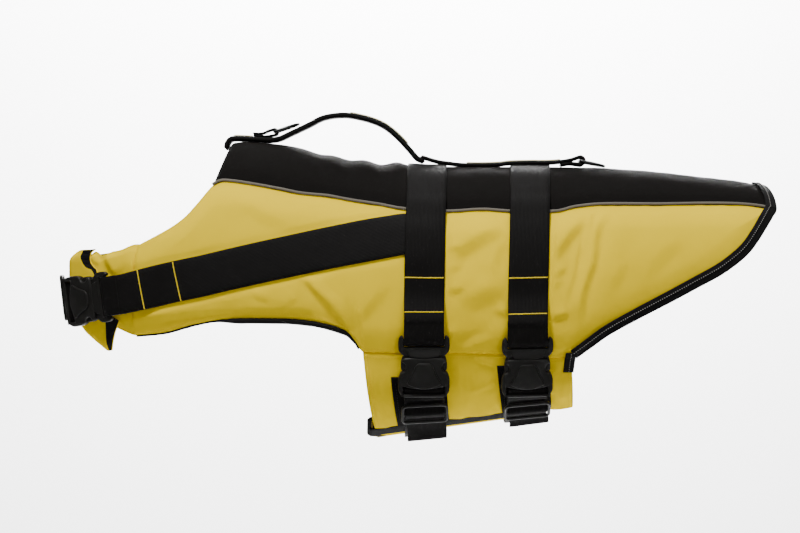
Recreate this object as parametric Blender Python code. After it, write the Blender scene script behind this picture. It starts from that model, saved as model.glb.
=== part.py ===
"""Dog life jacket, worn shape, with no wearer.

Metres, +Z up. +X runs towards the tail, -Y is the dog's left side. The origin is the inside of the
back panel over the spine, midway between the two girth straps: where the wearer's back carries it.

Every cloth piece is laid on one general barrel-shaped figure, the form. A place on the form is a
station s along the body, an angle a from the spine, and a side (-1 left, +1 right). In front of
FRONT_X the stations run round the chest instead of along it.
"""

import math

import bmesh
import bpy
import numpy as np
from mathutils import Matrix, Vector

LEFT = -1
RIGHT = 1
MM = 0.001

# Steps for slopes measured on the form: along it, and in angle
STEP = 0.002
ANGLE_STEP = 0.016

# Driving sizes
BACK_THICK = 0.005
SIDE_EDGE_THICK = 0.0045
SIDE_FOAM_THICK = 0.008
FOAM_RAMP = 0.022
FLAP_THICK = 0.0032
CHEST_THICK = 0.003
SEAM_GAP = 0.0003
LAY_GAP = 0.0005
CHEST_GAP = 0.0010
STRAP_GAP = 0.0008
WEB_WIDTH = 0.038
WEB_THICK = 0.0016
PIPING_WIDTH = 0.0026
PIPING_THICK = 0.0012
PIPING_CROWN = 0.4
SEAM_RISE = 0.0024
SEAM_RISE_REACH = 0.020
BINDING_LEG = 0.0095
BINDING_THICK = 0.0012
BINDING_TURN = 0.001
INNER_LEG_DROP = 0.0008
LEG_PIPING = 0.0018
PAD_THICK = 0.0012
FRONT_X = -0.27
WRAP_LENGTH = 0.158
FULLNESS = 2.3

# The form, inside the cloth: x, height of the spine, of the widest line and of the belly, half width
BARREL_COLUMNS = ("x", "top", "mid", "low", "half")
BARREL = (
    (-0.290, 0.0250, -0.118, -0.2585, 0.094),
    (-0.270, 0.0250, -0.118, -0.2600, 0.094),
    (-0.240, 0.0250, -0.120, -0.2625, 0.096),
    (-0.200, 0.0225, -0.124, -0.2655, 0.100),
    (-0.155, 0.0115, -0.128, -0.2660, 0.103),
    (-0.116, 0.0040, -0.131, -0.2640, 0.105),
    (-0.093, 0.0020, -0.132, -0.2605, 0.106),
    (-0.053, 0.0004, -0.133, -0.2545, 0.107),
    (0.000, 0.0000, -0.133, -0.2470, 0.107),
    (0.050, 0.0000, -0.132, -0.2400, 0.106),
    (0.100, -0.0005, -0.130, -0.2320, 0.104),
    (0.156, -0.0035, -0.126, -0.2240, 0.100),
    (0.204, -0.0085, -0.123, -0.2170, 0.096),
    (0.250, -0.0130, -0.120, -0.2100, 0.092),
    (0.290, -0.0215, -0.118, -0.2030, 0.087),
)

# How far the chest reaches in front of FRONT_X at each height
NOSE_COLUMNS = ("z", "reach")
NOSE = (
    (-0.268, 0.060),
    (-0.198, 0.098),
    (-0.176, 0.113),
    (-0.154, 0.125),
    (-0.128, 0.135),
    (-0.093, 0.1375),
    (-0.073, 0.1345),
    (-0.038, 0.120),
    (0.032, 0.083),
)
# The quarter of the chest seen from above is a cubic Bezier: these are its two inner handles
CHEST_HANDLE_ALONG = 0.40
CHEST_HANDLE_ACROSS = 0.35

# Side panel sections from the chest seam to the tail, upper edge point and lower edge point:
# x_top, z_top, x_low, z_low
SIDE = (
    (-0.3335, -0.0735, -0.3364, -0.1612),
    (-0.2942, -0.0512, -0.3100, -0.1586),
    (-0.2701, -0.0248, -0.2810, -0.1509),
    (-0.2628, -0.0169, -0.2620, -0.1470),
    (-0.2511, -0.0129, -0.2350, -0.1442),
    (-0.2168, -0.0176, -0.2050, -0.1442),
    (-0.1830, -0.0244, -0.1850, -0.1447),
    (-0.1484, -0.0287, -0.1650, -0.1468),
    (-0.1150, -0.0346, -0.1332, -0.1560),
    (-0.1000, -0.0367, -0.1235, -0.1666),
    (-0.0800, -0.0404, -0.1156, -0.1765),
    (-0.0341, -0.0433, -0.0338, -0.1780),
    (0.0000, -0.0416, 0.0000, -0.1786),
    (0.0293, -0.0433, 0.0300, -0.1795),
    (0.0684, -0.0433, 0.0622, -0.1825),
    (0.0908, -0.0389, 0.0860, -0.1810),
    (0.1152, -0.0365, 0.1168, -0.1609),
    (0.1640, -0.0365, 0.1748, -0.1308),
    (0.2128, -0.0360, 0.2270, -0.1038),
    (0.2500, -0.0365, 0.2575, -0.0813),
    (0.2735, -0.0388, 0.2745, -0.0590),
    (0.2850, -0.0412, 0.2835, -0.0460),
)
SIDE_ROWS = 8
COLS_PER_SECTION = 2
NECK_SECTION = 3
FLAP_SECTIONS = (10, 15)

# Back panel: its neck and tail edges at the spine and at the seam
BACK_FRONT_SPINE = -0.2475
BACK_REAR_SPINE = 0.2800
BACK_ROWS = 8

# Crumples across the back panel under the lifting handle: x, height, half length, reach to each side
CRUMPLES = (
    (-0.148, 0.0014, 0.014, 0.050),
    (-0.116, 0.0030, 0.013, 0.046),
    (-0.100, -0.0012, 0.010, 0.050),
    (-0.084, 0.0032, 0.010, 0.040),
)

# Soft folds in the side panels, troughs below 0: x_a, z_a, x_b, z_b, half width, height
FOLDS = (
    (0.106, -0.0430, 0.086, -0.1230, 0.014, -0.0022),
    (0.124, -0.0480, 0.108, -0.1480, 0.015, 0.0018),
    (0.006, -0.1180, -0.018, -0.0700, 0.014, -0.0014),
    (-0.118, -0.1380, -0.150, -0.0980, 0.016, 0.0012),
)

# Belly flaps: the left one hangs outside the end of the right one
FLAP_FRONT_LOW = -0.1050
FLAP_REAR_TOP = 0.0860
FLAP_REAR_LOW = 0.0890
LEFT_FLAP_HALF = 0.056
RIGHT_FLAP_REAR_LOW = 0.0560
RIGHT_FLAP_FRONT_LEAD = 0.006
RIGHT_FLAP_END_Z = -0.220
RIGHT_FLAP_TUCK = 0.012
RIGHT_FLAP_TUCK_FROM = 0.82
RIGHT_FLAP_TUCK_REACH = 0.12
FLAP_LIFT_START_Z = -0.184
FLAP_LIFT_LENGTH = 0.030
FLAP_COVER_BLEND = 0.012

# Black pads behind the girth buckles: name, x at the front, x at the rear, height of the top edge
PADS = (
    ("front", -0.0885, -0.0360, -0.1995),
    ("rear", 0.0140, 0.0640, -0.1890),
)
PAD_FRONT_SLANT = 0.006
PAD_REAR_SLANT = 0.003
PAD_EDGE_MARGIN = 0.012

# Closing patch on the right flap: width, gap to the left flap's edge, share of the flap's length
LOOP_PATCH_WIDTH = 0.0155
LOOP_PATCH_GAP = 0.003
LOOP_PATCH_SHARES = (0.012, 0.988)
LOOP_PATCH_AT = 0.8

# End of the rear binding on the belly flaps
TAIL_OUT = 0.0030
TAIL_TOP_Z = -0.1825
TAIL_LOW_Z = -0.1965
REAR_EDGE_START = 0.15

# Chest flaps: stations (see chest_station) and edges
CHEST_THIN_TURN = 0.50
CHEST_THIN_REACH = 0.14
COVER_MARGIN_TURN = 0.06
SEAM_TURN = 0.36
OVERLAP_TURN = 1.02
OVERLAP_REACH = 0.16
COVER_OVERLAP = (0.96, 0.12, 1.52, 0.08)
SEAM_EASE = 3
CHEST_COLUMNS = ("turn", "z_top", "z_low")
CHEST_LEFT = (
    (SEAM_TURN, -0.0735, -0.1612),
    (0.50, -0.0810, -0.1565),
    (0.65, -0.0780, -0.1480),
    (0.80, -0.0770, -0.1410),
)
CHEST_RIGHT = (
    (SEAM_TURN, -0.0735, -0.1612),
    (0.55, -0.0820, -0.1560),
    (0.80, -0.0830, -0.1480),
    (1.00, -0.0860, -0.1470),
    (1.16, -0.0810, -0.1570),
    (1.33, -0.0930, -0.1755),
)

# Girth straps: name, x at the spine, x at the buckle, height of buckle and slider, length of the tail
GIRTHS = (
    ("front", -0.0525, -0.0570, -0.1850, -0.2270, 0.024),
    ("rear", 0.0500, 0.0425, -0.1850, -0.2230, 0.012),
)

# Centre line of the chest strap on either side, from under the front girth strap to the nose: x, z
CHEST_LINE = (
    (-0.0752, -0.0655),
    (-0.1770, -0.0840),
    (-0.2960, -0.1095),
    (-0.3290, -0.1170),
    (-0.3600, -0.1230),
    (-0.3900, -0.1270),
)
CHEST_LINE_NOSE_Z = -0.1245
CHEST_BUCKLE_X = -0.3770
CHEST_SLIDER_TURN = 1.0
CHEST_TAIL = 0.010
CHEST_POINTS = 4
CHEST_BUCKLE_LIFT = 0.0008
CHEST_SLIDER_LIFT = 0.0086

# Lifting handle along the spine in the side view. Its lines give x, z of the middle of its thickness
HANDLE_WIDTH = 0.030
HANDLE_THICK = 0.0046
REAR_HANDLE_THICK = 0.0024
FRONT_HANDLE = (
    (-0.2530, 0.0238),
    (-0.2522, 0.0280),
    (-0.2494, 0.0318),
    (-0.2440, 0.0332),
    (-0.2250, 0.0324),
    (-0.2100, 0.0316),
    (-0.2000, 0.0330),
    (-0.1880, 0.0385),
    (-0.1710, 0.0465),
    (-0.1555, 0.0540),
    (-0.1350, 0.0565),
    (-0.1150, 0.0530),
    (-0.1000, 0.0478),
    (-0.0900, 0.0415),
    (-0.0800, 0.0325),
    (-0.0700, 0.0215),
    (-0.0630, 0.0136),
    (-0.0570, 0.0109),
)
REAR_HANDLE = (
    (-0.0580, 0.0152),
    (-0.0500, 0.0126),
    (-0.0420, 0.0102),
    (-0.0330, 0.0095),
    (0.0000, 0.0092),
    (0.0300, 0.0091),
    (0.0680, 0.0091),
    (0.0800, 0.0105),
    (0.0900, 0.0134),
)
REAR_HANDLE_RETURN = (
    (0.0940, 0.0066),
    (0.0880, 0.0062),
    (0.0810, 0.0062),
)
# Bright tapes on the handle: name, first x, last x
HANDLE_TAPES = (
    ("front", -0.2460, -0.2270),
    ("arch", -0.1300, -0.0740),
    ("rear", -0.0150, 0.0810),
)
TAPE_WIDTH = 0.012
TAPE_THICK = 0.0009
RING_TAB_FRONT = ((-0.2255, 0.0361), (-0.2200, 0.0358), (-0.2150, 0.0354), (-0.2105, 0.0358))
RING_TAB_BACK = ((-0.2112, 0.0409), (-0.2155, 0.0389), (-0.2200, 0.0381), (-0.2262, 0.0383))
RING_TAB_WIDTH = 0.024

# D-rings: x and z of the bar, slope in degrees; then the sizes both share
REAR_RING = (0.0995, 0.0108, -11.5)
FRONT_RING = (-0.2050, 0.0398, 19.0)
RING_HALF_WIDTH = 0.0185
RING_DEPTH = 0.0265
RING_HEIGHT = 0.0026
RING_BAR = 0.0024
RING_SECTION = 0.0034
CROSSING_RISE = WEB_THICK + 0.0009
CHEST_STRAP_END = 0.006

# Buckles and sliders
BAR_CENTRE = -23 * MM
BAR_HEIGHT = 3 * MM
BAR_HALF = 1.5 * MM
SOCKET_BAR_CENTRE = 27.2 * MM
SOCKET_BAR_HEIGHT = 2.6 * MM
SOCKET_BAR_HALF = 0.9 * MM
SLIDER_HALF = 13 * MM
SLIDER_LIFT = 3.2 * MM
GIRTH_BUCKLE_LIFT = 7.2 * MM
SLIDER_THICK = 2.2 * MM
WEB_HOLD = WEB_THICK / 2 + 0.0004
BAR_CORNER = 1.42
RING_WEB_GAP = 0.0003

# Girth strap: where the upper part leaves the buckle, where the lower part meets it and leaves the flap
STRAP_TURN = 1.7
UPPER_RISE = 0.060
LOWER_DROP = 0.034
SEW_MARGIN = 0.002
STEP_DOWN_HALF = 0.030
STEP_DOWN_REACH = 0.16
CROSSING_MARGIN = 0.004
CROSSING_BLEND = 0.008

# Chest strap: how far from its buckle the left part leaves the cloth, and points of the right part
PLUG_LEAD = 0.058
SOCKET_LEADS = (0.008, 0.0165)
CROSS_STEP = 0.004


def column(table, columns, name):
    """One named column of a table, as an array."""
    return np.array([row[columns.index(name)] for row in table], float)


def slopes(x, y):
    """Slopes of a smooth curve through the points that never overshoots them."""
    step, rise = np.diff(x), np.diff(y)
    d = rise / step
    out = np.zeros(len(x))
    for i in range(1, len(x) - 1):
        if d[i - 1] * d[i] > 0:
            wa, wb = 2 * step[i] + step[i - 1], step[i] + 2 * step[i - 1]
            out[i] = (wa + wb) / (wa / d[i - 1] + wb / d[i])
    out[0], out[-1] = d[0], d[-1]
    return out


def smooth_curve(x, y):
    """A function of one number: the smooth curve through the points, held level past its ends."""
    x, y = np.asarray(x, float), np.asarray(y, float)
    m = slopes(x, y)

    def at(value):
        value = min(max(value, x[0]), x[-1])
        i = min(int(np.searchsorted(x, value, side="right")) - 1, len(x) - 2)
        h = x[i + 1] - x[i]
        t = (value - x[i]) / h
        return float(
            y[i] * (1 + 2 * t) * (1 - t) ** 2
            + m[i] * h * t * (1 - t) ** 2
            + y[i + 1] * t * t * (3 - 2 * t)
            + m[i + 1] * h * t * t * (t - 1)
        )

    return at


def smoothstep(t):
    t = min(max(t, 0.0), 1.0)
    return t * t * (3 - 2 * t)


def barrel_curves():
    x = column(BARREL, BARREL_COLUMNS, "x")
    return {name: smooth_curve(x, column(BARREL, BARREL_COLUMNS, name)) for name in BARREL_COLUMNS[1:]}


BARREL_AT = barrel_curves()
NOSE_AT = smooth_curve(column(NOSE, NOSE_COLUMNS, "z"), column(NOSE, NOSE_COLUMNS, "reach"))


def chest_plan(turn):
    """Shares of the reach and the half width at a turn: 0 at FRONT_X, 1 at the nose, 2 at the far side."""
    t = turn if turn <= 1 else 2 - turn
    along = 3 * t * (1 - t) ** 2 * CHEST_HANDLE_ALONG + 3 * t * t * (1 - t) + t**3
    across = (1 - t) ** 3 + 3 * t * (1 - t) ** 2 + 3 * t * t * (1 - t) * CHEST_HANDLE_ACROSS
    return along, across if turn <= 1 else -across


def form_point(s, a, side):
    """A point on the form. Angles below 0 are on the other side of the spine."""
    at = max(s, FRONT_X)
    top, mid, low, half = (BARREL_AT[name](at) for name in BARREL_COLUMNS[1:])
    power = 2 / FULLNESS
    rise = abs(math.cos(a)) ** power
    z = mid + (top - mid) * rise if math.cos(a) >= 0 else mid - (mid - low) * rise
    y = half * math.copysign(abs(math.sin(a)) ** power, math.sin(a))
    x = s
    if s < FRONT_X:
        along, across = chest_plan((FRONT_X - s) / WRAP_LENGTH)
        x = FRONT_X - NOSE_AT(z) * along
        y = y * across
    return Vector((x, side * y, z))


def form_normal(s, a, side):
    """The form's outward direction."""
    ds = form_point(s + STEP, a, side) - form_point(s - STEP, a, side)
    da = form_point(s, a + ANGLE_STEP, side) - form_point(s, a - ANGLE_STEP, side)
    return (ds.cross(da) * side).normalized()


def angle_at(s, z):
    """The angle from the spine at which the form has this height."""
    at = max(s, FRONT_X)
    top, mid, low = (BARREL_AT[name](at) for name in ("top", "mid", "low"))
    share = (z - mid) / (top - mid) if z >= mid else (z - mid) / (mid - low)
    share = min(max(share, -1.0), 1.0)
    return math.acos(math.copysign(abs(share) ** (FULLNESS / 2), share))


def chest_station(turn):
    return FRONT_X - WRAP_LENGTH * turn


def station_at(x, z):
    """The station at which the form has this x, at this height."""
    if x >= FRONT_X:
        return x
    want = (FRONT_X - x) / NOSE_AT(z)
    low, high = 0.0, 1.0
    for _ in range(40):
        mid = (low + high) / 2
        low, high = (mid, high) if chest_plan(mid)[0] < want else (low, mid)
    return chest_station((low + high) / 2)


def lay(s, a, side, offset):
    """A point at this distance outside the form."""
    return form_point(s, a, side) + form_normal(s, a, side) * offset


def side_edges():
    """The side panel's sections as stations and angles, with the heights of both edges by station."""
    rows = []
    for x_top, z_top, x_low, z_low in SIDE:
        s_top, s_low = station_at(x_top, z_top), station_at(x_low, z_low)
        rows.append((s_top, angle_at(s_top, z_top), s_low, angle_at(s_low, z_low), z_top, z_low))
    rows = np.array(rows)
    along = np.arange(len(rows), dtype=float)
    by_row = [smooth_curve(along, rows[:, k]) for k in range(4)]
    return by_row, smooth_curve(rows[:, 0], rows[:, 4]), smooth_curve(rows[:, 2], rows[:, 5])


SIDE_BY_ROW, SEAM_Z, SIDE_LOW_Z = side_edges()
LAST_ROW = len(SIDE) - 1


def fold_height(x, z):
    """Height of the soft folds at a place in the side view."""
    total = 0.0
    for xa, za, xb, zb, half_width, height in FOLDS:
        line = Vector((xb - xa, zb - za))
        t = ((x - xa) * line.x + (z - za) * line.y) / line.length_squared
        away = math.hypot(x - xa - line.x * t, z - za - line.y * t)
        total += height * math.exp(-((away / half_width) ** 2)) * math.exp(-((2 * t - 1) ** 4))
    return total


def crumple_height(x, y):
    total = 0.0
    for at, height, half_length, side_reach in CRUMPLES:
        total += height * math.exp(-(((x - at) / half_length) ** 2) - (y / side_reach) ** 2)
    return total


def side_thick(s, a, side):
    """Foam thickness of the side panel: full in the middle, thin at its stitched edges."""
    z = form_point(s, a, side).z
    slope = (SIDE_LOW_Z(s + STEP) - SIDE_LOW_Z(s - STEP)) / (2 * STEP)
    inside = min(SEAM_Z(s) - z, (z - SIDE_LOW_Z(s)) / math.hypot(1, slope))
    return SIDE_EDGE_THICK + (SIDE_FOAM_THICK - SIDE_EDGE_THICK) * smoothstep(inside / FOAM_RAMP)


def left_flap_lift(z):
    """How far the left flap's inner face stands off the form, to clear the right flap's end."""
    full = FLAP_THICK + LAY_GAP
    return full * smoothstep((FLAP_LIFT_START_Z - z) / FLAP_LIFT_LENGTH)


def cover(s, a, side):
    """Outer height of the cloth over the form, under a strap."""
    x, y, z = form_point(s, a, side)
    if z >= SEAM_Z(s):
        return BACK_THICK + crumple_height(x, y)
    if z >= SIDE_LOW_Z(s):
        return side_thick(s, a, side) + max(fold_height(x, z), 0)
    flap = FLAP_THICK
    if side == LEFT:
        flap += left_flap_lift(z)
    near_seam = 1 - smoothstep((SIDE_LOW_Z(s) - z) / FLAP_COVER_BLEND)
    return flap + max(SIDE_EDGE_THICK - flap, 0) * near_seam


def material(name, colour, roughness=0.8, metallic=0.0):
    made = bpy.data.materials.new(name)
    made.use_nodes = True
    shader = made.node_tree.nodes["Principled BSDF"]
    shader.inputs["Base Color"].default_value = (*colour, 1.0)
    shader.inputs["Roughness"].default_value = roughness
    shader.inputs["Metallic"].default_value = metallic
    made.diffuse_color = (*colour, 1.0)
    return made


def clear_scene():
    for obj in list(bpy.data.objects):
        bpy.data.objects.remove(obj, do_unlink=True)


def add(name, data, finish, collection):
    obj = bpy.data.objects.new(name, data)
    data.materials.append(finish)
    collection.objects.link(obj)
    return obj


def wall(name, inner, outer, finish, collection):
    """A closed wall between two grids of points: a flat grid, extruded, with both skins moved to place."""
    inner, outer = np.asarray(inner, float), np.asarray(outer, float)
    cols, rows = inner.shape[0] - 1, inner.shape[1] - 1
    bm = bmesh.new()
    bmesh.ops.create_grid(bm, x_segments=cols, y_segments=rows, size=1.0)
    made = bmesh.ops.extrude_face_region(bm, geom=bm.faces[:], use_keep_orig=True)
    raised = {v for v in made["geom"] if isinstance(v, bmesh.types.BMVert)}
    for v in bm.verts:
        i, j = round((v.co.x + 1) / 2 * cols), round((v.co.y + 1) / 2 * rows)
        v.co = Vector(outer[i, j] if v in raised else inner[i, j])
    bmesh.ops.recalc_face_normals(bm, faces=bm.faces[:])
    if bm.calc_volume(signed=True) < 0:
        bmesh.ops.reverse_faces(bm, faces=bm.faces[:])
    mesh = bpy.data.meshes.new(name)
    bm.to_mesh(mesh)
    bm.free()
    obj = add(name, mesh, finish, collection)
    mesh.shade_smooth()
    mesh.set_sharp_from_angle(angle=math.radians(40))
    return obj


def catmull(points, per_segment):
    """Points along the smooth curve through these points, each a number array."""
    points = [np.asarray(p, float) for p in points]
    out = []
    for i in range(len(points) - 1):
        a, b = points[i], points[i + 1]
        before = points[i - 1] if i else 2 * a - b
        after = points[i + 2] if i + 2 < len(points) else 2 * b - a
        for k in range(per_segment):
            t = k / per_segment
            out.append(
                0.5
                * (
                    2 * a
                    + (b - before) * t
                    + (2 * before - 5 * a + 4 * b - after) * t * t
                    + (3 * a - before - 3 * b + after) * t**3
                )
            )
    out.append(points[-1])
    return out


def ribbon(name, middle, thick, finish, collection):
    """A strap: a grid of points down the middle of its thickness, thickened to both sides."""
    middle = np.asarray(middle, float)
    along = np.gradient(middle, axis=0)
    across = np.gradient(middle, axis=1)
    normal = np.cross(across, along)
    normal /= np.linalg.norm(normal, axis=2, keepdims=True)
    shift = normal * thick / 2
    return wall(name, middle - shift, middle + shift, finish, collection)


# Cloth panels


def sections(first, last, per_section=COLS_PER_SECTION):
    """Places along the side panel's table, shared by every piece that meets its edges."""
    return np.linspace(first, last, round((last - first) * per_section) + 1)


def back_panel(finish, collection):
    """The black panel over the spine, from seam to seam."""
    inner, outer = [], []
    front_seam, rear_seam = SIDE[NECK_SECTION][0], SIDE[LAST_ROW][0]
    for row in sections(NECK_SECTION, LAST_ROW):
        inner.append([])
        outer.append([])
        s_seam, a_seam = SIDE_BY_ROW[0](row), SIDE_BY_ROW[1](row)
        share = (s_seam - front_seam) / (rear_seam - front_seam)
        s_spine = BACK_FRONT_SPINE + (BACK_REAR_SPINE - BACK_FRONT_SPINE) * share
        a_seam -= SEAM_GAP / 2 / BARREL_AT["half"](s_seam)
        for v in np.linspace(-1, 1, BACK_ROWS + 1):
            s, a = s_spine + (s_seam - s_spine) * v * v, a_seam * abs(v)
            side = RIGHT if v > 0 else LEFT
            p, n = form_point(s, a, side), form_normal(s, a, side)
            puff = crumple_height(s, p.y)
            inner[-1].append(p + n * puff)
            outer[-1].append(p + n * (BACK_THICK + puff))
    return wall("back_panel", inner, outer, finish, collection)


def side_place(row, v):
    """Station and angle of a place on the side panel: section row, and v from top to bottom edge."""
    s_top, a_top, s_low, a_low = (curve(row) for curve in SIDE_BY_ROW)
    return s_top + (s_low - s_top) * v, a_top + (a_low - a_top) * v


def side_panel(name, side, finish, collection):
    """A foam side panel with its chest arm, thin at the stitched edges."""
    inner, outer = [], []
    for row in sections(0, LAST_ROW):
        inner.append([])
        outer.append([])
        for v in np.linspace(0, 1, SIDE_ROWS + 1):
            s, a = side_place(row, v)
            inset = SEAM_GAP / 2 / BARREL_AT["half"](s)
            a += inset * (1 - 2 * v)
            p = form_point(s, a, side)
            edge = math.sin(math.pi * v) * smoothstep(row) * smoothstep(LAST_ROW - row)
            height = side_thick(s, a, side) + fold_height(p.x, p.z) * edge
            inner[-1].append(p)
            outer[-1].append(p + form_normal(s, a, side) * height)
    return wall(name, inner, outer, finish, collection)


def angle_of_half(s, y):
    """The angle under the belly at which the form is this far from its middle plane."""
    return math.pi - math.asin((y / BARREL_AT["half"](s)) ** (FULLNESS / 2))


def flap_top(row):
    """Station and angle of a belly flap's sewn edge, a seam's gap below the side panel."""
    s, a = side_place(row, 1)
    return s, a + SEAM_GAP / BARREL_AT["half"](s)


def belly_flap_left(finish, collection, rows=9):
    """The outer belly flap: from the left seam down and under, over the end of the right flap."""
    inner, outer = [], []
    first, last = FLAP_SECTIONS
    for row in sections(first, last):
        inner.append([])
        outer.append([])
        u = (row - first) / (last - first)
        s_top, a_top = flap_top(row)
        s_low = FLAP_FRONT_LOW + (FLAP_REAR_LOW - FLAP_FRONT_LOW) * u
        for v in np.linspace(0, 1, rows + 1):
            s = s_top + (s_low - s_top) * v
            a = a_top + (angle_of_half(s, LEFT_FLAP_HALF) - a_top) * v
            p, n = form_point(s, a, LEFT), form_normal(s, a, LEFT)
            lift = left_flap_lift(p.z)
            inner[-1].append(p + n * lift)
            outer[-1].append(p + n * (lift + FLAP_THICK))
    return wall("belly_flap_left", inner, outer, finish, collection)


def right_flap_place(row, v):
    """Station, angle and side on the right belly flap: v runs from its seam under the belly to its end."""
    first, last = FLAP_SECTIONS
    u = (row - first) / (last - first)
    s_top, a_top = flap_top(row)
    front_low = FLAP_FRONT_LOW - RIGHT_FLAP_FRONT_LEAD
    s = s_top + (front_low + (RIGHT_FLAP_REAR_LOW - front_low) * u - s_top) * v
    s += RIGHT_FLAP_TUCK * smoothstep((v - RIGHT_FLAP_TUCK_FROM) / RIGHT_FLAP_TUCK_REACH) * (1 - u)
    end = 2 * math.pi - angle_at(s, RIGHT_FLAP_END_Z)
    a = a_top + (end - a_top) * v
    return (s, a, RIGHT) if a <= math.pi else (s, 2 * math.pi - a, LEFT)


def belly_flap_right(finish, collection, rows=18):
    """The inner belly flap: from the right seam under the belly and up behind the left flap."""
    inner, outer = [], []
    for row in sections(*FLAP_SECTIONS, 2):
        inner.append([])
        outer.append([])
        for v in np.linspace(0, 1, rows + 1):
            s, a, side = right_flap_place(row, v)
            inner[-1].append(form_point(s, a, side))
            outer[-1].append(lay(s, a, side, FLAP_THICK))
    return wall("belly_flap_right", inner, outer, finish, collection)


def chest_edges(table):
    """Top and bottom heights of a chest flap by turn."""
    turns = column(table, CHEST_COLUMNS, "turn")
    top = smooth_curve(turns, column(table, CHEST_COLUMNS, "z_top"))
    return turns[-1], top, smooth_curve(turns, column(table, CHEST_COLUMNS, "z_low"))


def chest_thick(turn, at_seam):
    """Thickness of a chest flap, thinning from the foam panel it is sewn to."""
    share = smoothstep((CHEST_THIN_TURN - turn) / CHEST_THIN_REACH)
    return CHEST_THICK + (at_seam - CHEST_THICK) * share


def chest_flap(name, side, table, lift_from, finish, collection, cols, rows=SIDE_ROWS):
    """A thin chest flap round the front. Past the turn lift_from, if any, it lies on the other flap."""
    last, top, low = chest_edges(table)
    inner, outer = [], []
    for u in np.linspace(0, 1, cols + 1):
        inner.append([])
        outer.append([])
        for v in np.linspace(0, 1, rows + 1):
            first, a_first = side_place(0, v)
            first -= SEAM_GAP
            s = first + (chest_station(last) - first) * u
            turn = (FRONT_X - s) / WRAP_LENGTH
            a = angle_at(s, top(turn)) * (1 - v) + angle_at(s, low(turn)) * v
            a += (a_first - a) * smoothstep(1 - u * SEAM_EASE)
            lift = 0.0
            if lift_from is not None:
                lift = (CHEST_THICK + CHEST_GAP) * smoothstep((turn - lift_from) / OVERLAP_REACH)
            thick = chest_thick(turn, side_thick(first, a_first, side))
            inner[-1].append(lay(s, a, side, lift))
            outer[-1].append(lay(s, a, side, lift + thick))
    return wall(name, inner, outer, finish, collection)


# Trims


def seam_piping(name, side, finish, collection):
    """The reflective piping that covers the seam between back and side panel."""
    inner, outer = [], []
    for row in sections(NECK_SECTION, LAST_ROW - 1):
        s, a = side_place(row, 0)
        half = PIPING_WIDTH / 2 / BARREL_AT["half"](s)
        base = BACK_THICK + LAY_GAP + crumple_height(s, form_point(s, a, side).y)
        inner.append([])
        outer.append([])
        for v in (-1, 0, 1):
            thick = PIPING_THICK * (1 - PIPING_CROWN * abs(v))
            inner[-1].append(lay(s, a + v * half, side, base))
            outer[-1].append(lay(s, a + v * half, side, base + thick))
    return wall(name, inner, outer, finish, collection)


def leg_piping(name, side, finish, collection):
    """The thin black piping under the front lower edge."""
    inner, outer = [], []
    for row in sections(0, FLAP_SECTIONS[0] - 0.5, 2):
        s, a = side_place(row, 1)
        half = BARREL_AT["half"](max(s, FRONT_X))
        start = a + SEAM_GAP / half
        end = start + LEG_PIPING / half
        inner.append([lay(s, at, side, LAY_GAP) for at in (start, end)])
        outer.append([lay(s, at, side, LAY_GAP + LEG_PIPING) for at in (start, end)])
    return wall(name, inner, outer, finish, collection)


def rear_edge(count):
    """Places along the rear edge of one half, from the belly seam up to the spine."""
    rows = []
    for row in np.linspace(FLAP_SECTIONS[1] + REAR_EDGE_START, LAST_ROW, count):
        rows.append(side_place(row, 1))
    s_seam, a_seam = side_place(LAST_ROW, 0)
    for share in (0.35, 0.7):
        s, a = rows[-1]
        rows.append((s + (s_seam - s) * share, a + (a_seam - a) * share))
    for v in (1.0, 0.8, 0.6, 0.4, 0.2, 0.0):
        s = BACK_REAR_SPINE + (SIDE[LAST_ROW][0] - BACK_REAR_SPINE) * v * v
        rows.append((s, angle_at(s, SEAM_Z(s)) * v))
    return rows


def rear_binding(finish, collection, count=13):
    """The tape folded over the rear edge, from the left belly seam round the tail to the right one."""
    left = [(s, a, LEFT) for s, a in rear_edge(count)]
    line = left + [(s, a, RIGHT) for s, a, _ in reversed(left[:-1])]
    edge = [form_point(s, a, side) for s, a, side in line]
    inner, outer = [], []
    for i, (s, a, side) in enumerate(line):
        tangent = (edge[min(i + 1, len(edge) - 1)] - edge[max(i - 1, 0)]).normalized()
        n = form_normal(s, a, side)
        away = tangent.cross(n).normalized()
        inside = edge[i] - away * BINDING_LEG
        thick = cover(s, a, side)
        thick_inside = max(thick, cover(inside.x, angle_at(inside.x, inside.z), side))
        gap, tape, turn = LAY_GAP, BINDING_THICK, -BINDING_TURN
        low, high, leg = -gap, thick + gap * 1.5, thick_inside + gap * 3
        profile = [(-BINDING_LEG, leg), (turn, high), (gap, high), (gap, low), (turn, low)]
        profile.append((-BINDING_LEG, low - INNER_LEG_DROP))
        swell = [(-BINDING_LEG, leg + tape), (turn, high + tape), (gap + tape, high + tape * 0.3)]
        swell += [(gap + tape, low - tape * 0.3), (turn, low - tape)]
        swell.append((-BINDING_LEG, low - tape - INNER_LEG_DROP))
        inner.append([edge[i] + away * x + n * h for x, h in profile])
        outer.append([edge[i] + away * x + n * h for x, h in swell])
    return wall("rear_binding", inner, outer, finish, collection)


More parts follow.
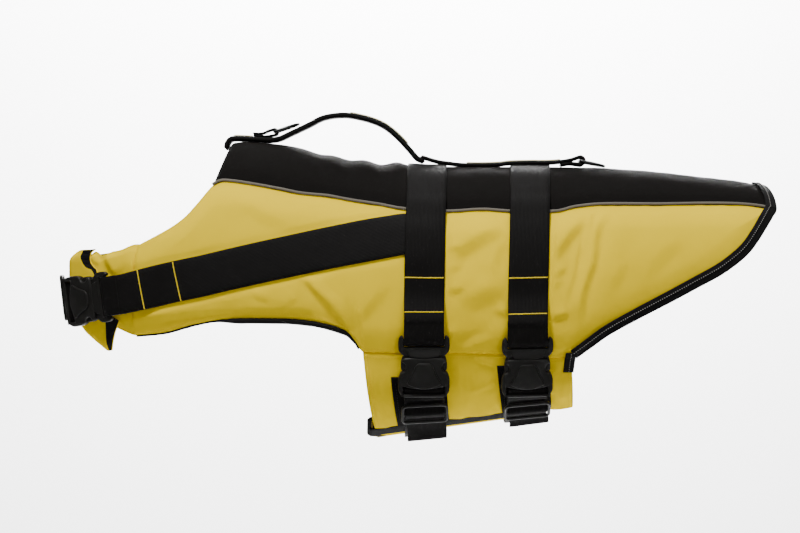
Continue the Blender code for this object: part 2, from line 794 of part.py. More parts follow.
def patch(name, corners, side, rows, cols, height, thick, finish, collection, base):
    """A flat patch on a panel. Its corners are (station, angle): top front, top rear, low rear, low front."""
    inner, outer = [], []
    for u in np.linspace(0, 1, cols + 1):
        inner.append([])
        outer.append([])
        for v in np.linspace(0, 1, rows + 1):
            top = [p * (1 - u) + q * u for p, q in zip(corners[0], corners[1], strict=True)]
            low = [p * (1 - u) + q * u for p, q in zip(corners[3], corners[2], strict=True)]
            s, a = (p * (1 - v) + q * v for p, q in zip(top, low, strict=True))
            lift = base(s, a, side) + height
            inner[-1].append(lay(s, a, side, lift))
            outer[-1].append(lay(s, a, side, lift + thick))
    return wall(name, inner, outer, finish, collection)


def left_flap_cover(s, a, side):
    return left_flap_lift(form_point(s, a, side).z) + FLAP_THICK


def buckle_pads(finish, collection):
    """The black pads on the left flap behind the buckles."""
    for name, x_front, x_rear, z_top in PADS:
        corners = [(s, angle_at(s, z_top)) for s in (x_front, x_rear)]
        for s in (x_rear + PAD_REAR_SLANT, x_front + PAD_FRONT_SLANT):
            corners.append((s, angle_of_half(s, LEFT_FLAP_HALF) - PAD_EDGE_MARGIN))
        lift, thick = LAY_GAP, PAD_THICK
        patch("buckle_pad_" + name, corners, LEFT, 5, 4, lift, thick, finish, collection, left_flap_cover)


def loop_patch(finish, collection, cols=12, rows=4):
    """The black closing patch on the right flap, just past the left flap's lower edge."""
    inner, outer = [], []
    first, last = FLAP_SECTIONS
    for u in np.linspace(*LOOP_PATCH_SHARES, cols + 1):
        inner.append([])
        outer.append([])
        s = right_flap_place(first + (last - first) * u, LOOP_PATCH_AT)[0]
        for v in np.linspace(0, 1, rows + 1):
            a = angle_of_half(s, LEFT_FLAP_HALF - LOOP_PATCH_GAP - LOOP_PATCH_WIDTH * v)
            inner[-1].append(lay(s, a, LEFT, FLAP_THICK + LAY_GAP))
            outer[-1].append(lay(s, a, LEFT, FLAP_THICK + LAY_GAP + PAD_THICK))
    return wall("loop_patch", inner, outer, finish, collection)


def binding_tail(name, side, finish, collection):
    """The short end of the rear binding that runs down the flap's rear edge."""
    x, inside = FLAP_REAR_TOP + TAIL_OUT, FLAP_REAR_TOP + TAIL_OUT - BINDING_LEG
    places = ((inside, TAIL_TOP_Z), (x, TAIL_TOP_Z), (x, TAIL_LOW_Z), (inside, TAIL_LOW_Z))
    corners = [(s, angle_at(s, z)) for s, z in places]
    base = left_flap_cover if side == LEFT else lambda s, a, side: FLAP_THICK
    return patch(name, corners, side, 3, 2, LAY_GAP, BINDING_THICK, finish, collection, base)


# Buckles, each in a flat frame of its own: along the strap, across it, and out from the body


def local_frame(s, a, side, lift, across_hint):
    """A matrix whose x runs along the strap, y across it and z out of the cloth."""
    origin = lay(s, a, side, lift)
    out = form_normal(s, a, side)
    across = (across_hint - out * across_hint.dot(out)).normalized()
    along = across.cross(out)
    m = Matrix.Identity(4)
    for k, axis in enumerate((along, across, out)):
        m.col[k].xyz = axis
    m.translation = origin
    return m


def rounded(points, radius, steps=2):
    """A closed outline with each corner cut by a short arc."""
    out = []
    count = len(points)
    for i, p in enumerate(points):
        p = Vector(p)
        before, after = Vector(points[i - 1]) - p, Vector(points[(i + 1) % count]) - p
        cut = min(radius, before.length * 0.45, after.length * 0.45)
        start, end = p + before.normalized() * cut, p + after.normalized() * cut
        for k in range(steps + 1):
            t = k / steps
            out.append(start * (1 - t) ** 2 + p * (2 * t * (1 - t)) + end * t * t)
    return out


def plate(name, outlines, low, high, frame, finish, collection, edge=0.0004):
    """A flat plate: closed outlines in a 2D curve, filled, thickened between two heights, edges eased."""
    curve = bpy.data.curves.new(name, "CURVE")
    curve.dimensions = "2D"
    curve.fill_mode = "BOTH"
    curve.extrude = (high - low) / 2 - edge
    curve.bevel_depth = edge
    curve.bevel_resolution = 0
    curve.offset = -edge
    for outline in outlines:
        spline = curve.splines.new("POLY")
        spline.points.add(len(outline) - 1)
        for point, place in zip(spline.points, outline, strict=True):
            point.co = (place[0], place[1], 0, 1)
        spline.use_cyclic_u = True
    curve_object = bpy.data.objects.new(name, curve)
    collection.objects.link(curve_object)
    curve_object.matrix_world = frame @ Matrix.Translation((0, 0, (high + low) / 2))
    bpy.context.view_layer.update()
    graph = bpy.context.evaluated_depsgraph_get()
    mesh = bpy.data.meshes.new_from_object(curve_object.evaluated_get(graph))
    place = curve_object.matrix_world.copy()
    bpy.data.objects.remove(curve_object)
    bm = bmesh.new()
    bm.from_mesh(mesh)
    bmesh.ops.remove_doubles(bm, verts=bm.verts[:], dist=1e-6)
    bmesh.ops.recalc_face_normals(bm, faces=bm.faces[:])
    bm.to_mesh(mesh)
    bm.free()
    mesh.name = name
    obj = add(name, mesh, finish, collection)
    obj.matrix_world = place
    return obj


def box(name, low, high, frame, collection):
    """A plain box between two corners of a frame."""
    mesh = bpy.data.meshes.new(name)
    bm = bmesh.new()
    bmesh.ops.create_cube(bm, size=1.0)
    for v in bm.verts:
        v.co = Vector([low[k] + (high[k] - low[k]) * (v.co[k] + 0.5) for k in range(3)])
    bm.to_mesh(mesh)
    bm.free()
    obj = bpy.data.objects.new(name, mesh)
    collection.objects.link(obj)
    obj.matrix_world = frame
    return obj


def boolean(target, other, operation):
    """Cuts or joins a helper and removes it."""
    modifier = target.modifiers.new(operation.lower(), "BOOLEAN")
    modifier.operation = operation
    modifier.object = other
    bpy.context.view_layer.update()
    graph = bpy.context.evaluated_depsgraph_get()
    mesh = bpy.data.meshes.new_from_object(target.evaluated_get(graph))
    target.modifiers.clear()
    target.data = mesh
    bpy.data.objects.remove(other)


def mirrored(half):
    """A closed outline from its half with across above 0."""
    return [*half, *[(x, -y) for x, y in reversed(half)]]


def buckle_plug(name, frame, finish, collection):
    """The plug half: two ears with a bar for the strap, a slot, a cross plate and two side arms."""
    half = [(-24.5, 19.9), (-28.2, 20.3), (-27, 24), (-12.5, 24.3), (-9.8, 22.2), (5.6, 22.2)]
    half += [(7.4, 20.8), (6.6, 18.8), (-6.2, 18.8), (-6.9, 15.5)]
    outline = mirrored([(x * MM, y * MM) for x, y in half])
    slot = [(-21.5, 19.9), (-16.9, 19.9), (-16.9, -19.9), (-21.5, -19.9)]
    slot = [(x * MM, y * MM) for x, y in slot]
    low, high = BAR_HEIGHT - BAR_HALF, BAR_HEIGHT + BAR_HALF
    return plate(name, [rounded(outline, 1.6 * MM, 1), slot], low, high, frame, finish, collection)


def buckle_socket(name, frame, finish, collection):
    """The socket half: a thick body notched for the plug's arms, with a strap slot at its end."""
    half = [(-6.3, 15), (-5.2, 18.2), (7.9, 18.2), (9.2, 22.6), (13, 25.2), (29, 25.4), (34, 21)]
    outline = mirrored([(x * MM, y * MM) for x, y in half])
    slot = [(22.5, 20.4), (30.6, 20.4), (30.6, -20.4), (22.5, -20.4)]
    slot = [(x * MM, y * MM) for x, y in slot]
    body = plate(name, [rounded(outline, 3.5 * MM, 2), slot], 0, 9 * MM, frame, finish, collection, 0.0012)
    under = box(name + "_cut", (29 * MM, -20 * MM, -2 * MM), (37 * MM, 20 * MM, 5.7 * MM), frame, collection)
    boolean(body, under, "DIFFERENCE")
    h, c, b = SOCKET_BAR_HEIGHT, SOCKET_BAR_CENTRE, SOCKET_BAR_HALF
    bar = box(name + "_bar", (c - b, -22 * MM, h - b), (c + b, 22 * MM, h + b), frame, collection)
    boolean(body, bar, "UNION")
    return body


def strap_slider(name, frame, finish, collection):
    """The slider: a rounded frame with a middle bar."""
    corners = [(-13, 23), (13, 23), (13, -23), (-13, -23)]
    outline = rounded([(x * MM, y * MM) for x, y in corners], 4 * MM, 2)
    windows = []
    for low, high in ((-9.6, -1.6), (1.6, 9.6)):
        ring = [(low, 19.8), (high, 19.8), (high, -19.8), (low, -19.8)]
        windows.append([(x * MM, y * MM) for x, y in ring])
    return plate(name, [outline, *windows], 0, SLIDER_THICK, frame, finish, collection)


def in_frame(frame, path, count=3):
    """Points across a strap from its (along, out) path in a flat frame."""
    return [
        [frame @ Vector((x, c * WEB_WIDTH / 2, h)) for c in np.linspace(-1, 1, count)] for x, h in path
    ]


def round_bar(centre, height, radius, start, end, count):
    """Points of a path round a bar, from one angle to another, in degrees from the strap's direction."""
    turns = np.radians(np.linspace(start, end, count))
    return [(centre + radius * math.cos(t), height + radius * math.sin(t)) for t in turns]


def plug_path():
    """The strap's end: over the plug's bar, round it, and back under itself."""
    r = BAR_HALF * BAR_CORNER + WEB_HOLD
    path = [(-46 * MM, 2.4 * MM), (-34 * MM, 5.2 * MM)]
    path += round_bar(BAR_CENTRE, BAR_HEIGHT, r, 112, -96, 7)
    path += [(-38 * MM, -0.6 * MM), (-44 * MM, -1.2 * MM)]
    return path


def socket_path():
    """The strap through the socket: in behind the end bar, round the hidden bar and out again."""
    r = SOCKET_BAR_HALF * BAR_CORNER + WEB_HOLD
    path = [(33.5 * MM, -1.2 * MM)]
    path += round_bar(SOCKET_BAR_CENTRE, SOCKET_BAR_HEIGHT, r, 280, 80, 6)
    path += [(32 * MM, 4.3 * MM), (36 * MM, 3.4 * MM)]
    return path


def slider_path(tail):
    """The strap through the slider, over its middle bar, and its loose tail."""
    path = [(-17, -0.9), (-13, -1.35), (-10, -1.4), (-5.8, 0.7), (-2.4, 3.0), (0, 3.55)]
    path += [(2.4, 3.0), (5.8, 0.7), (10, -1.4), (13, -1.35)]
    path = [(x * MM, h * MM) for x, h in path]
    path += [(SLIDER_HALF + tail * 0.5, -0.6 * MM), (SLIDER_HALF + tail, 1.4 * MM)]
    return path


def strap_over(x_spine, x_end, a, side, half_width, height):
    """Edge points of a girth strap on the cloth at one angle."""
    share = min(a / STRAP_TURN, 1.0)
    x = x_spine + (x_end - x_spine) * share
    points = []
    for c in (-1, 0, 1):
        s = x + c * half_width
        z = form_point(s, a, side).z
        rise = SEAM_RISE * smoothstep(1 - abs(z - SEAM_Z(s)) / SEAM_RISE_REACH)
        if c < 1 and x_spine < 0:
            rise = max(rise, CROSSING_RISE * crossing_share(z))
        points.append(lay(s, a, side, cover(s, a, side) + height + rise))
    return points


def crossing_share(z):
    """1 where the front girth strap passes over the end of the chest strap, 0 away from it."""
    reach = WEB_WIDTH / 2 + CROSSING_MARGIN
    top, low = CHEST_LINE[0][1] + reach, CHEST_LINE[0][1] - reach
    return smoothstep((top - z) / CROSSING_BLEND + 1) * smoothstep((z - low) / CROSSING_BLEND + 1)


def girth_set(row, webbing, plastic, collection):
    """One girth strap with its buckle and slider."""
    name, x_spine, x_buckle, buckle_z, slider_z, tail = row
    half = WEB_WIDTH / 2
    tailwards = Vector((1, 0, 0))
    buckle = local_frame(x_buckle, angle_at(x_buckle, buckle_z), LEFT, GIRTH_BUCKLE_LIFT, tailwards)
    stack = left_flap_lift(-1.0) + FLAP_THICK + LAY_GAP + PAD_THICK + LAY_GAP
    inner_web = stack + WEB_THICK / 2
    slider_lift = inner_web + WEB_THICK / 2 + SLIDER_LIFT
    slider = local_frame(x_buckle, angle_at(x_buckle, slider_z), LEFT, slider_lift, tailwards)
    height = STRAP_GAP + WEB_THICK / 2
    first = angle_at(x_buckle, buckle_z + UPPER_RISE)
    last = angle_at(x_buckle, SIDE_LOW_Z(x_buckle) + SEW_MARGIN)
    edges = in_frame(buckle, list(reversed(plug_path())))
    for a in np.linspace(first, 0, 14):
        edges.append(strap_over(x_spine, x_buckle, a, LEFT, half, height))
    for a in np.linspace(0, last, 16)[1:]:
        edges.append(strap_over(x_spine, x_buckle, a, RIGHT, half, height))
    ribbon("girth_" + name + "_upper", edges[::-1], WEB_THICK, webbing, collection)

    edges = []
    under = FLAP_THICK + LAY_GAP + PAD_THICK + height
    start = angle_at(x_buckle, SIDE_LOW_Z(x_buckle) - SEW_MARGIN)
    for a in np.linspace(start, math.pi, 10):
        edges.append([lay(x_buckle + c * half, a, RIGHT, under) for c in (-1, 0, 1)])
    meet = angle_at(x_buckle, buckle_z - LOWER_DROP)
    for a in np.linspace(math.pi, meet, 10)[1:]:
        share = smoothstep((angle_of_half(x_buckle, STEP_DOWN_HALF) - a) / STEP_DOWN_REACH)
        lift = under * (1 - share) + inner_web * share
        edges.append([lay(x_buckle + c * half, a, LEFT, lift) for c in (-1, 0, 1)])
    edges += in_frame(buckle, socket_path())
    edges += in_frame(slider, slider_path(tail))
    ribbon("girth_" + name + "_lower", edges, WEB_THICK, webbing, collection)
    buckle_plug("buckle_plug_" + name, buckle, plastic, collection)
    buckle_socket("buckle_socket_" + name, buckle, plastic, collection)
    strap_slider("slider_" + name, slider, plastic, collection)


def chest_line():
    """Height of the chest strap's centre line by station."""
    s = [station_at(x, z) for x, z in reversed(CHEST_LINE)]
    z = [z for _, z in reversed(CHEST_LINE)]
    return smooth_curve([chest_station(1.0), *s], [CHEST_LINE_NOSE_Z, *z])


def mirrored_station(s):
    """Stations past the nose are counted back from it, for values that are alike on both sides."""
    nose = chest_station(1.0)
    return s if s >= nose else 2 * nose - s


def chest_cover(s, a, side):
    """Outer height of the cloth round the chest."""
    turn = (FRONT_X - s) / WRAP_LENGTH
    if turn <= SEAM_TURN:
        return side_thick(s, a, side) + max(fold_height(*form_point(s, a, side).xz), 0)
    from_right = turn if side == RIGHT else 2 - turn
    lift = CHEST_THICK + CHEST_GAP
    start, rise, end, fall = COVER_OVERLAP
    over = smoothstep((from_right - start) / rise) * smoothstep((end - from_right) / fall)
    return max(CHEST_THICK + lift * over, chest_thick(turn - COVER_MARGIN_TURN, SIDE_FOAM_THICK))


def chest_cross(line, s, side, height, count=CHEST_POINTS):
    """Points across the chest strap at one station, square to its run."""
    places = []
    for at in (s - CROSS_STEP / 2, s + CROSS_STEP / 2):
        places.append(form_point(at, angle_at(at, line(mirrored_station(at))), side))
    step = places[1] - places[0]
    run = math.hypot(step.x, step.y)
    slope = math.atan2(step.z, run)
    points = []
    for c in np.linspace(-0.5, 0.5, count):
        at = s - c * WEB_WIDTH * math.sin(slope) * CROSS_STEP / run
        a = angle_at(at, line(mirrored_station(s)) + c * WEB_WIDTH * math.cos(slope))
        points.append(lay(at, a, side, chest_cover(at, a, side) + height))
    return points


def run_direction(line, s, side):
    """The strap's direction towards the nose at a station."""
    ahead, here = s - CROSS_STEP, s + CROSS_STEP
    return form_point(ahead, angle_at(ahead, line(mirrored_station(ahead))), side) - form_point(
        here, angle_at(here, line(mirrored_station(here))), side
    )


def chest_set(webbing, plastic, collection):
    """The strap across the chest, its buckle on the left and its slider near the nose."""
    line = chest_line()
    height = STRAP_GAP + WEB_THICK / 2
    s_buckle = station_at(CHEST_BUCKLE_X, line(station_at(CHEST_BUCKLE_X, CHEST_LINE_NOSE_Z)))
    lift = (CHEST_THICK * 2 + CHEST_GAP) + CHEST_BUCKLE_LIFT
    a_buckle = angle_at(s_buckle, line(s_buckle))
    across = form_normal(s_buckle, a_buckle, LEFT).cross(run_direction(line, s_buckle, LEFT))
    buckle = local_frame(s_buckle, a_buckle, LEFT, lift, across)
    s_slider = chest_station(CHEST_SLIDER_TURN)
    a_slider = angle_at(s_slider, line(mirrored_station(s_slider)))
    across = form_normal(s_slider, a_slider, LEFT).cross(run_direction(line, s_slider, LEFT))
    slider = local_frame(s_slider, a_slider, LEFT, CHEST_SLIDER_LIFT, across)

    rear_end = GIRTHS[0][1] - WEB_WIDTH / 2 + CHEST_STRAP_END
    s_plug = s_buckle + PLUG_LEAD
    edges = [chest_cross(line, s, LEFT, height) for s in np.linspace(rear_end, s_plug, 24)]
    edges += [row[::-1] for row in in_frame(buckle, plug_path(), CHEST_POINTS)]
    ribbon("chest_strap_left", edges, WEB_THICK, webbing, collection)

    nose = chest_station(1.0)
    edges = [chest_cross(line, s, RIGHT, height) for s in np.linspace(rear_end, nose, 36)]
    edges += [chest_cross(line, s, LEFT, height) for s in [nose + lead for lead in SOCKET_LEADS]]
    edges += [row[::-1] for row in in_frame(buckle, socket_path(), CHEST_POINTS)]
    edges += [row[::-1] for row in in_frame(slider, slider_path(CHEST_TAIL), CHEST_POINTS)]
    ribbon("chest_strap_right", edges, WEB_THICK, webbing, collection)
    buckle_plug("buckle_plug_chest", buckle, plastic, collection)
    buckle_socket("buckle_socket_chest", buckle, plastic, collection)
    strap_slider("slider_chest", slider, plastic, collection)


def spine_strip(name, line, width, thick, finish, collection):
    """A strap or tape along the spine from its side view line."""
    middle = [[(p[0], -width / 2, p[1]), (p[0], width / 2, p[1])] for p in catmull(line, 3)]
    return ribbon(name, middle, thick, finish, collection)


def around(bar, radius, start, end, count=6):
    """Points round a ring's bar in the side view, in degrees."""
    turns = np.radians(np.linspace(start, end, count))
    return [(bar[0] + radius * math.cos(t), bar[1] + radius * math.sin(t)) for t in turns]


def handles(webbing, tape, collection):
    """The lifting handle's arch and the flat run behind it, with the bright tapes on top."""
    spine_strip("handle_front", FRONT_HANDLE, HANDLE_WIDTH, HANDLE_THICK, webbing, collection)
    hold = RING_BAR * 0.75 + REAR_HANDLE_THICK / 2 + RING_WEB_GAP
    line = [*REAR_HANDLE, *around(REAR_RING, hold, 100, -80), *REAR_HANDLE_RETURN]
    spine_strip("handle_rear", line, HANDLE_WIDTH, REAR_HANDLE_THICK, webbing, collection)
    fine = {"front": catmull(FRONT_HANDLE, 6), "rear": catmull(REAR_HANDLE, 6)}
    for name, first, last in HANDLE_TAPES:
        source, thick = ("rear", REAR_HANDLE_THICK) if name == "rear" else ("front", HANDLE_THICK)
        points = [p for p in fine[source] if first <= p[0] <= last]
        slope = np.gradient(np.array(points), axis=0)
        slope /= np.linalg.norm(slope, axis=1, keepdims=True)
        rise = thick / 2 + TAPE_THICK / 2 + SEAM_GAP
        line = [(p[0] - d[1] * rise, p[1] + d[0] * rise) for p, d in zip(points, slope, strict=True)]
        middle = [[(p[0], -TAPE_WIDTH / 2, p[1]), (p[0], TAPE_WIDTH / 2, p[1])] for p in line[::2]]
        ribbon("handle_tape_" + name, middle, TAPE_THICK, tape, collection)


def ring(name, place, metal, collection):
    """A D-ring, flat plate with a straight bar at its own origin."""
    w, d, t = RING_HALF_WIDTH, RING_DEPTH, RING_SECTION
    turns = np.radians(np.linspace(90, -90, 9))
    bow = [(d - w + w * math.cos(r), w * math.sin(r)) for r in turns]
    hole = [(d - w + (w - t) * math.cos(r), (w - t) * math.sin(r)) for r in turns]
    half = RING_BAR / 2
    outer = [(-half, w), *bow, (-half, -w)]
    inner = [(half, w - t), *hole, (half, t - w)]
    x, z, tilt = place
    frame = Matrix.Translation((x, 0, z)) @ Matrix.Rotation(math.radians(-tilt), 4, "Y")
    return plate(name, [outer, inner], -RING_HEIGHT / 2, RING_HEIGHT / 2, frame, metal, collection)


def rings(webbing, metal, collection):
    """Both leash rings and the short webbing that holds the front one on the handle."""
    ring("ring_rear", REAR_RING, metal, collection)
    ring("ring_front", FRONT_RING, metal, collection)
    hold = RING_BAR * 0.75 + WEB_THICK / 2 + RING_WEB_GAP
    line = [*RING_TAB_FRONT, *around(FRONT_RING, hold, -75, 110), *RING_TAB_BACK]
    spine_strip("ring_tab", line, RING_TAB_WIDTH, WEB_THICK, webbing, collection)


def main():
    clear_scene()
    collection = bpy.data.collections.new("dog_life_jacket")
    bpy.context.scene.collection.children.link(collection)
    yellow = material("yellow_nylon", (0.80, 0.58, 0.10), 0.75)
    black = material("black_nylon", (0.022, 0.021, 0.021), 0.7)
    webbing = material("black_webbing", (0.018, 0.018, 0.019), 0.65)
    grey = material("reflective_grey", (0.25, 0.25, 0.25), 0.4)
    plastic = material("black_plastic", (0.012, 0.012, 0.013), 0.35)
    metal = material("dark_metal", (0.05, 0.05, 0.05), 0.3, 1.0)
    back_panel(black, collection)
    for name, side in (("left", LEFT), ("right", RIGHT)):
        side_panel("side_panel_" + name, side, yellow, collection)
        seam_piping("seam_piping_" + name, side, grey, collection)
        leg_piping("leg_piping_" + name, side, black, collection)
        binding_tail("binding_tail_" + name, side, black, collection)
    belly_flap_left(yellow, collection)
    belly_flap_right(yellow, collection)
    chest_flap("chest_flap_left", LEFT, CHEST_LEFT, None, yellow, collection, 7)
    chest_flap("chest_flap_right", RIGHT, CHEST_RIGHT, OVERLAP_TURN, yellow, collection, 18)
    rear_binding(black, collection)
    buckle_pads(black, collection)
    loop_patch(black, collection)
    for row in GIRTHS:
        girth_set(row, webbing, plastic, collection)
    chest_set(webbing, plastic, collection)
    handles(webbing, yellow, collection)
    rings(webbing, metal, collection)


main()
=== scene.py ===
"""Looks for the dog life jacket: padded panels, flaps, webbing, moulded buckles, trims and stitching.

Metres, +Z up, -Y is the dog's left side, +X runs to the tail. Every cloth piece is laid on the same
form as its solid: station s along the body, angle a from the spine, side -1 left or +1 right.
"""

import math

import bmesh
import bpy
import numpy as np
from mathutils import Matrix, Vector


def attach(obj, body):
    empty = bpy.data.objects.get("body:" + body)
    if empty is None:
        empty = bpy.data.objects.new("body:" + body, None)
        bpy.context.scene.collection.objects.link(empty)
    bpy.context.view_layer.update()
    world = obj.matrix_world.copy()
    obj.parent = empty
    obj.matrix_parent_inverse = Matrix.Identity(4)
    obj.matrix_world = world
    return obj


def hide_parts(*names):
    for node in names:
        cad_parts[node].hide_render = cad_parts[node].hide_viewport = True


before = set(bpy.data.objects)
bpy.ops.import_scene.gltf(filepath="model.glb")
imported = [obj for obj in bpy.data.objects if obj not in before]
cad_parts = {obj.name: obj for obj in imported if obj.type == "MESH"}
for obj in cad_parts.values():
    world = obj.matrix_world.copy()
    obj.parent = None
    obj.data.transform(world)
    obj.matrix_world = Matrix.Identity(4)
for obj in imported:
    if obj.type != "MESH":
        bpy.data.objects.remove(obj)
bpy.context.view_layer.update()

LEFT, RIGHT = -1, 1
WORDS = {LEFT: "left", RIGHT: "right"}
MM = 0.001

# Sizes and tables of the solids, repeated
BACK_THICK = 0.005
SIDE_EDGE_THICK = 0.0045
SIDE_FOAM_THICK = 0.008
FOAM_RAMP = 0.022
FLAP_THICK = 0.0032
CHEST_THICK = 0.003
SEAM_GAP = 0.0003
LAY_GAP = 0.0005
CHEST_GAP = 0.0010
STRAP_GAP = 0.0008
WEB_WIDTH = 0.038
WEB_THICK = 0.0016
SEAM_RISE = 0.0024
SEAM_RISE_REACH = 0.020
BINDING_LEG = 0.0095
BINDING_THICK = 0.0012
PAD_THICK = 0.0012
STRAP_HEIGHT = STRAP_GAP + WEB_THICK / 2
FRONT_X = -0.27
MIDDLE_Z = -0.13
WRAP_LENGTH = 0.158
FULLNESS = 2.3
# The body form. Columns: station, height of the top, of the widest place and of the bottom, half width
BARREL = np.array([
    (-0.290, 0.0250, -0.118, -0.2585, 0.094),
    (-0.270, 0.0250, -0.118, -0.2600, 0.094),
    (-0.240, 0.0250, -0.120, -0.2625, 0.096),
    (-0.200, 0.0225, -0.124, -0.2655, 0.100),
    (-0.155, 0.0115, -0.128, -0.2660, 0.103),
    (-0.116, 0.0040, -0.131, -0.2640, 0.105),
    (-0.093, 0.0020, -0.132, -0.2605, 0.106),
    (-0.053, 0.0004, -0.133, -0.2545, 0.107),
    (0.000, 0.0000, -0.133, -0.2470, 0.107),
    (0.050, 0.0000, -0.132, -0.2400, 0.106),
    (0.100, -0.0005, -0.130, -0.2320, 0.104),
    (0.156, -0.0035, -0.126, -0.2240, 0.100),
    (0.204, -0.0085, -0.123, -0.2170, 0.096),
    (0.250, -0.0130, -0.120, -0.2100, 0.092),
    (0.290, -0.0215, -0.118, -0.2030, 0.087),
])
# The chest in front of the body form. Columns: height, reach forward
NOSE = np.array([
    (-0.268, 0.060), (-0.198, 0.098), (-0.176, 0.113), (-0.154, 0.125), (-0.128, 0.135),
    (-0.093, 0.1375), (-0.073, 0.1345), (-0.038, 0.120), (0.032, 0.083),
])
CHEST_HANDLE_ALONG = 0.40
CHEST_HANDLE_ACROSS = 0.35
# Sections of a side panel. Columns: x and z of its upper edge, x and z of its lower edge
SIDE = np.array([
    (-0.3335, -0.0735, -0.3364, -0.1612),
    (-0.2942, -0.0512, -0.3100, -0.1586),
    (-0.2701, -0.0248, -0.2810, -0.1509),
    (-0.2628, -0.0169, -0.2620, -0.1470),
    (-0.2511, -0.0129, -0.2350, -0.1442),
    (-0.2168, -0.0176, -0.2050, -0.1442),
    (-0.1830, -0.0244, -0.1850, -0.1447),
    (-0.1484, -0.0287, -0.1650, -0.1468),
    (-0.1150, -0.0346, -0.1332, -0.1560),
    (-0.1000, -0.0367, -0.1235, -0.1666),
    (-0.0800, -0.0404, -0.1156, -0.1765),
    (-0.0341, -0.0433, -0.0338, -0.1780),
    (0.0000, -0.0416, 0.0000, -0.1786),
    (0.0293, -0.0433, 0.0300, -0.1795),
    (0.0684, -0.0433, 0.0622, -0.1825),
    (0.0908, -0.0389, 0.0860, -0.1810),
    (0.1152, -0.0365, 0.1168, -0.1609),
    (0.1640, -0.0365, 0.1748, -0.1308),
    (0.2128, -0.0360, 0.2270, -0.1038),
    (0.2500, -0.0365, 0.2575, -0.0813),
    (0.2735, -0.0388, 0.2745, -0.0590),
    (0.2850, -0.0412, 0.2835, -0.0460),
])
NECK_SECTION = 3
FLAP_SECTIONS = (10, 15)
LAST_ROW = len(SIDE) - 1
BACK_FRONT_SPINE = -0.2475
BACK_REAR_SPINE = 0.2800
# Crumples of the back panel that the solids have too. Columns: x, y, half length, half width, height
CRUMPLES = (
    (-0.148, 0.0, 0.014, 0.050, 0.0014),
    (-0.116, 0.0, 0.013, 0.046, 0.0030),
    (-0.100, 0.0, 0.010, 0.050, -0.0012),
    (-0.084, 0.0, 0.010, 0.040, 0.0032),
)
# Folds that the solids have too. Columns: x and z of one end, x and z of the other, half width, height
FOLDS = (
    (0.106, -0.0430, 0.086, -0.1230, 0.014, -0.0022),
    (0.124, -0.0480, 0.108, -0.1480, 0.015, 0.0018),
    (0.006, -0.1180, -0.018, -0.0700, 0.014, -0.0014),
    (-0.118, -0.1380, -0.150, -0.0980, 0.016, 0.0012),
)
FLAP_FRONT_LOW = -0.1050
FLAP_REAR_TOP = 0.0860
FLAP_REAR_LOW = 0.0890
LEFT_FLAP_HALF = 0.056
RIGHT_FLAP_REAR_LOW = 0.0560
RIGHT_FLAP_FRONT_LEAD = 0.006
RIGHT_FLAP_END_Z = -0.220
RIGHT_FLAP_TUCK = 0.012
FLAP_LIFT_START_Z = -0.184
FLAP_LIFT_LENGTH = 0.030
# Columns: name, front x, rear x, z of the top
PADS = (
    ("front", -0.0885, -0.0360, -0.1995),
    ("rear", 0.0140, 0.0640, -0.1890),
)
LOOP_PATCH_WIDTH = 0.0155
CHEST_LIFT_FROM = 1.02
CHEST_THIN_TURN = 0.50
CHEST_THIN_REACH = 0.14
SEAM_TURN = 0.36
# Chest flaps. Columns: turn round the chest, z of the upper edge, z of the lower edge
CHEST_LEFT = np.array([
    (SEAM_TURN, -0.0735, -0.1612),
    (0.456, -0.0790, -0.1580),
    (0.520, -0.0803, -0.1557),
    (0.560, -0.0833, -0.1535),
    (0.593, -0.0843, -0.1515),
    (0.617, -0.0815, -0.1500),
    (0.643, -0.0803, -0.1485),
    (0.668, -0.0835, -0.1470),
    (0.685, -0.0910, -0.1460),
    (0.720, -0.0980, -0.1445),
    (0.800, -0.1000, -0.1410),
])
CHEST_RIGHT = np.array([
    (SEAM_TURN, -0.0735, -0.1612),
    (0.55, -0.0820, -0.1560),
    (0.80, -0.0830, -0.1480),
    (1.00, -0.0860, -0.1470),
    (1.08, -0.0825, -0.1510),
    (1.16, -0.0800, -0.1570),
    (1.28, -0.0790, -0.1700),
    (1.33, -0.0785, -0.1755),
    (1.42, -0.0770, -0.1755),
])
# The overlapping end, by share of the height from the top: turns where the yellow and the black end
CHEST_END = np.array([
    (0.000, 1.280, 1.370), (0.030, 1.275, 1.340), (0.075, 1.270, 1.338), (0.110, 1.280, 1.340),
    (0.150, 1.300, 1.350), (0.190, 1.330, 1.372), (0.215, 1.370, 1.390), (0.270, 1.390, 1.400),
    (0.400, 1.380, 1.390), (0.580, 1.410, 1.430), (0.660, 1.420, 1.505), (1.000, 1.340, 1.355),
])
# Columns: name, x at the spine, x at the buckle, z of the buckle, z of the slider, length of the tail
GIRTHS = (
    ("front", -0.0525, -0.0570, -0.1850, -0.2270, 0.024),
    ("rear", 0.0500, 0.0425, -0.1850, -0.2230, 0.012),
)
# The middle line of the chest strap, from the front girth strap to its buckle. Columns: x, z
CHEST_LINE = (
    (-0.0752, -0.0655), (-0.1770, -0.0840), (-0.2960, -0.1095),
    (-0.3290, -0.1170), (-0.3600, -0.1230), (-0.3900, -0.1270),
)
CHEST_LINE_NOSE_Z = -0.1245
CHEST_BUCKLE_X = -0.3770
HANDLE_WIDTH = 0.030
HANDLE_THICK = 0.0050
REAR_HANDLE_THICK = 0.0036
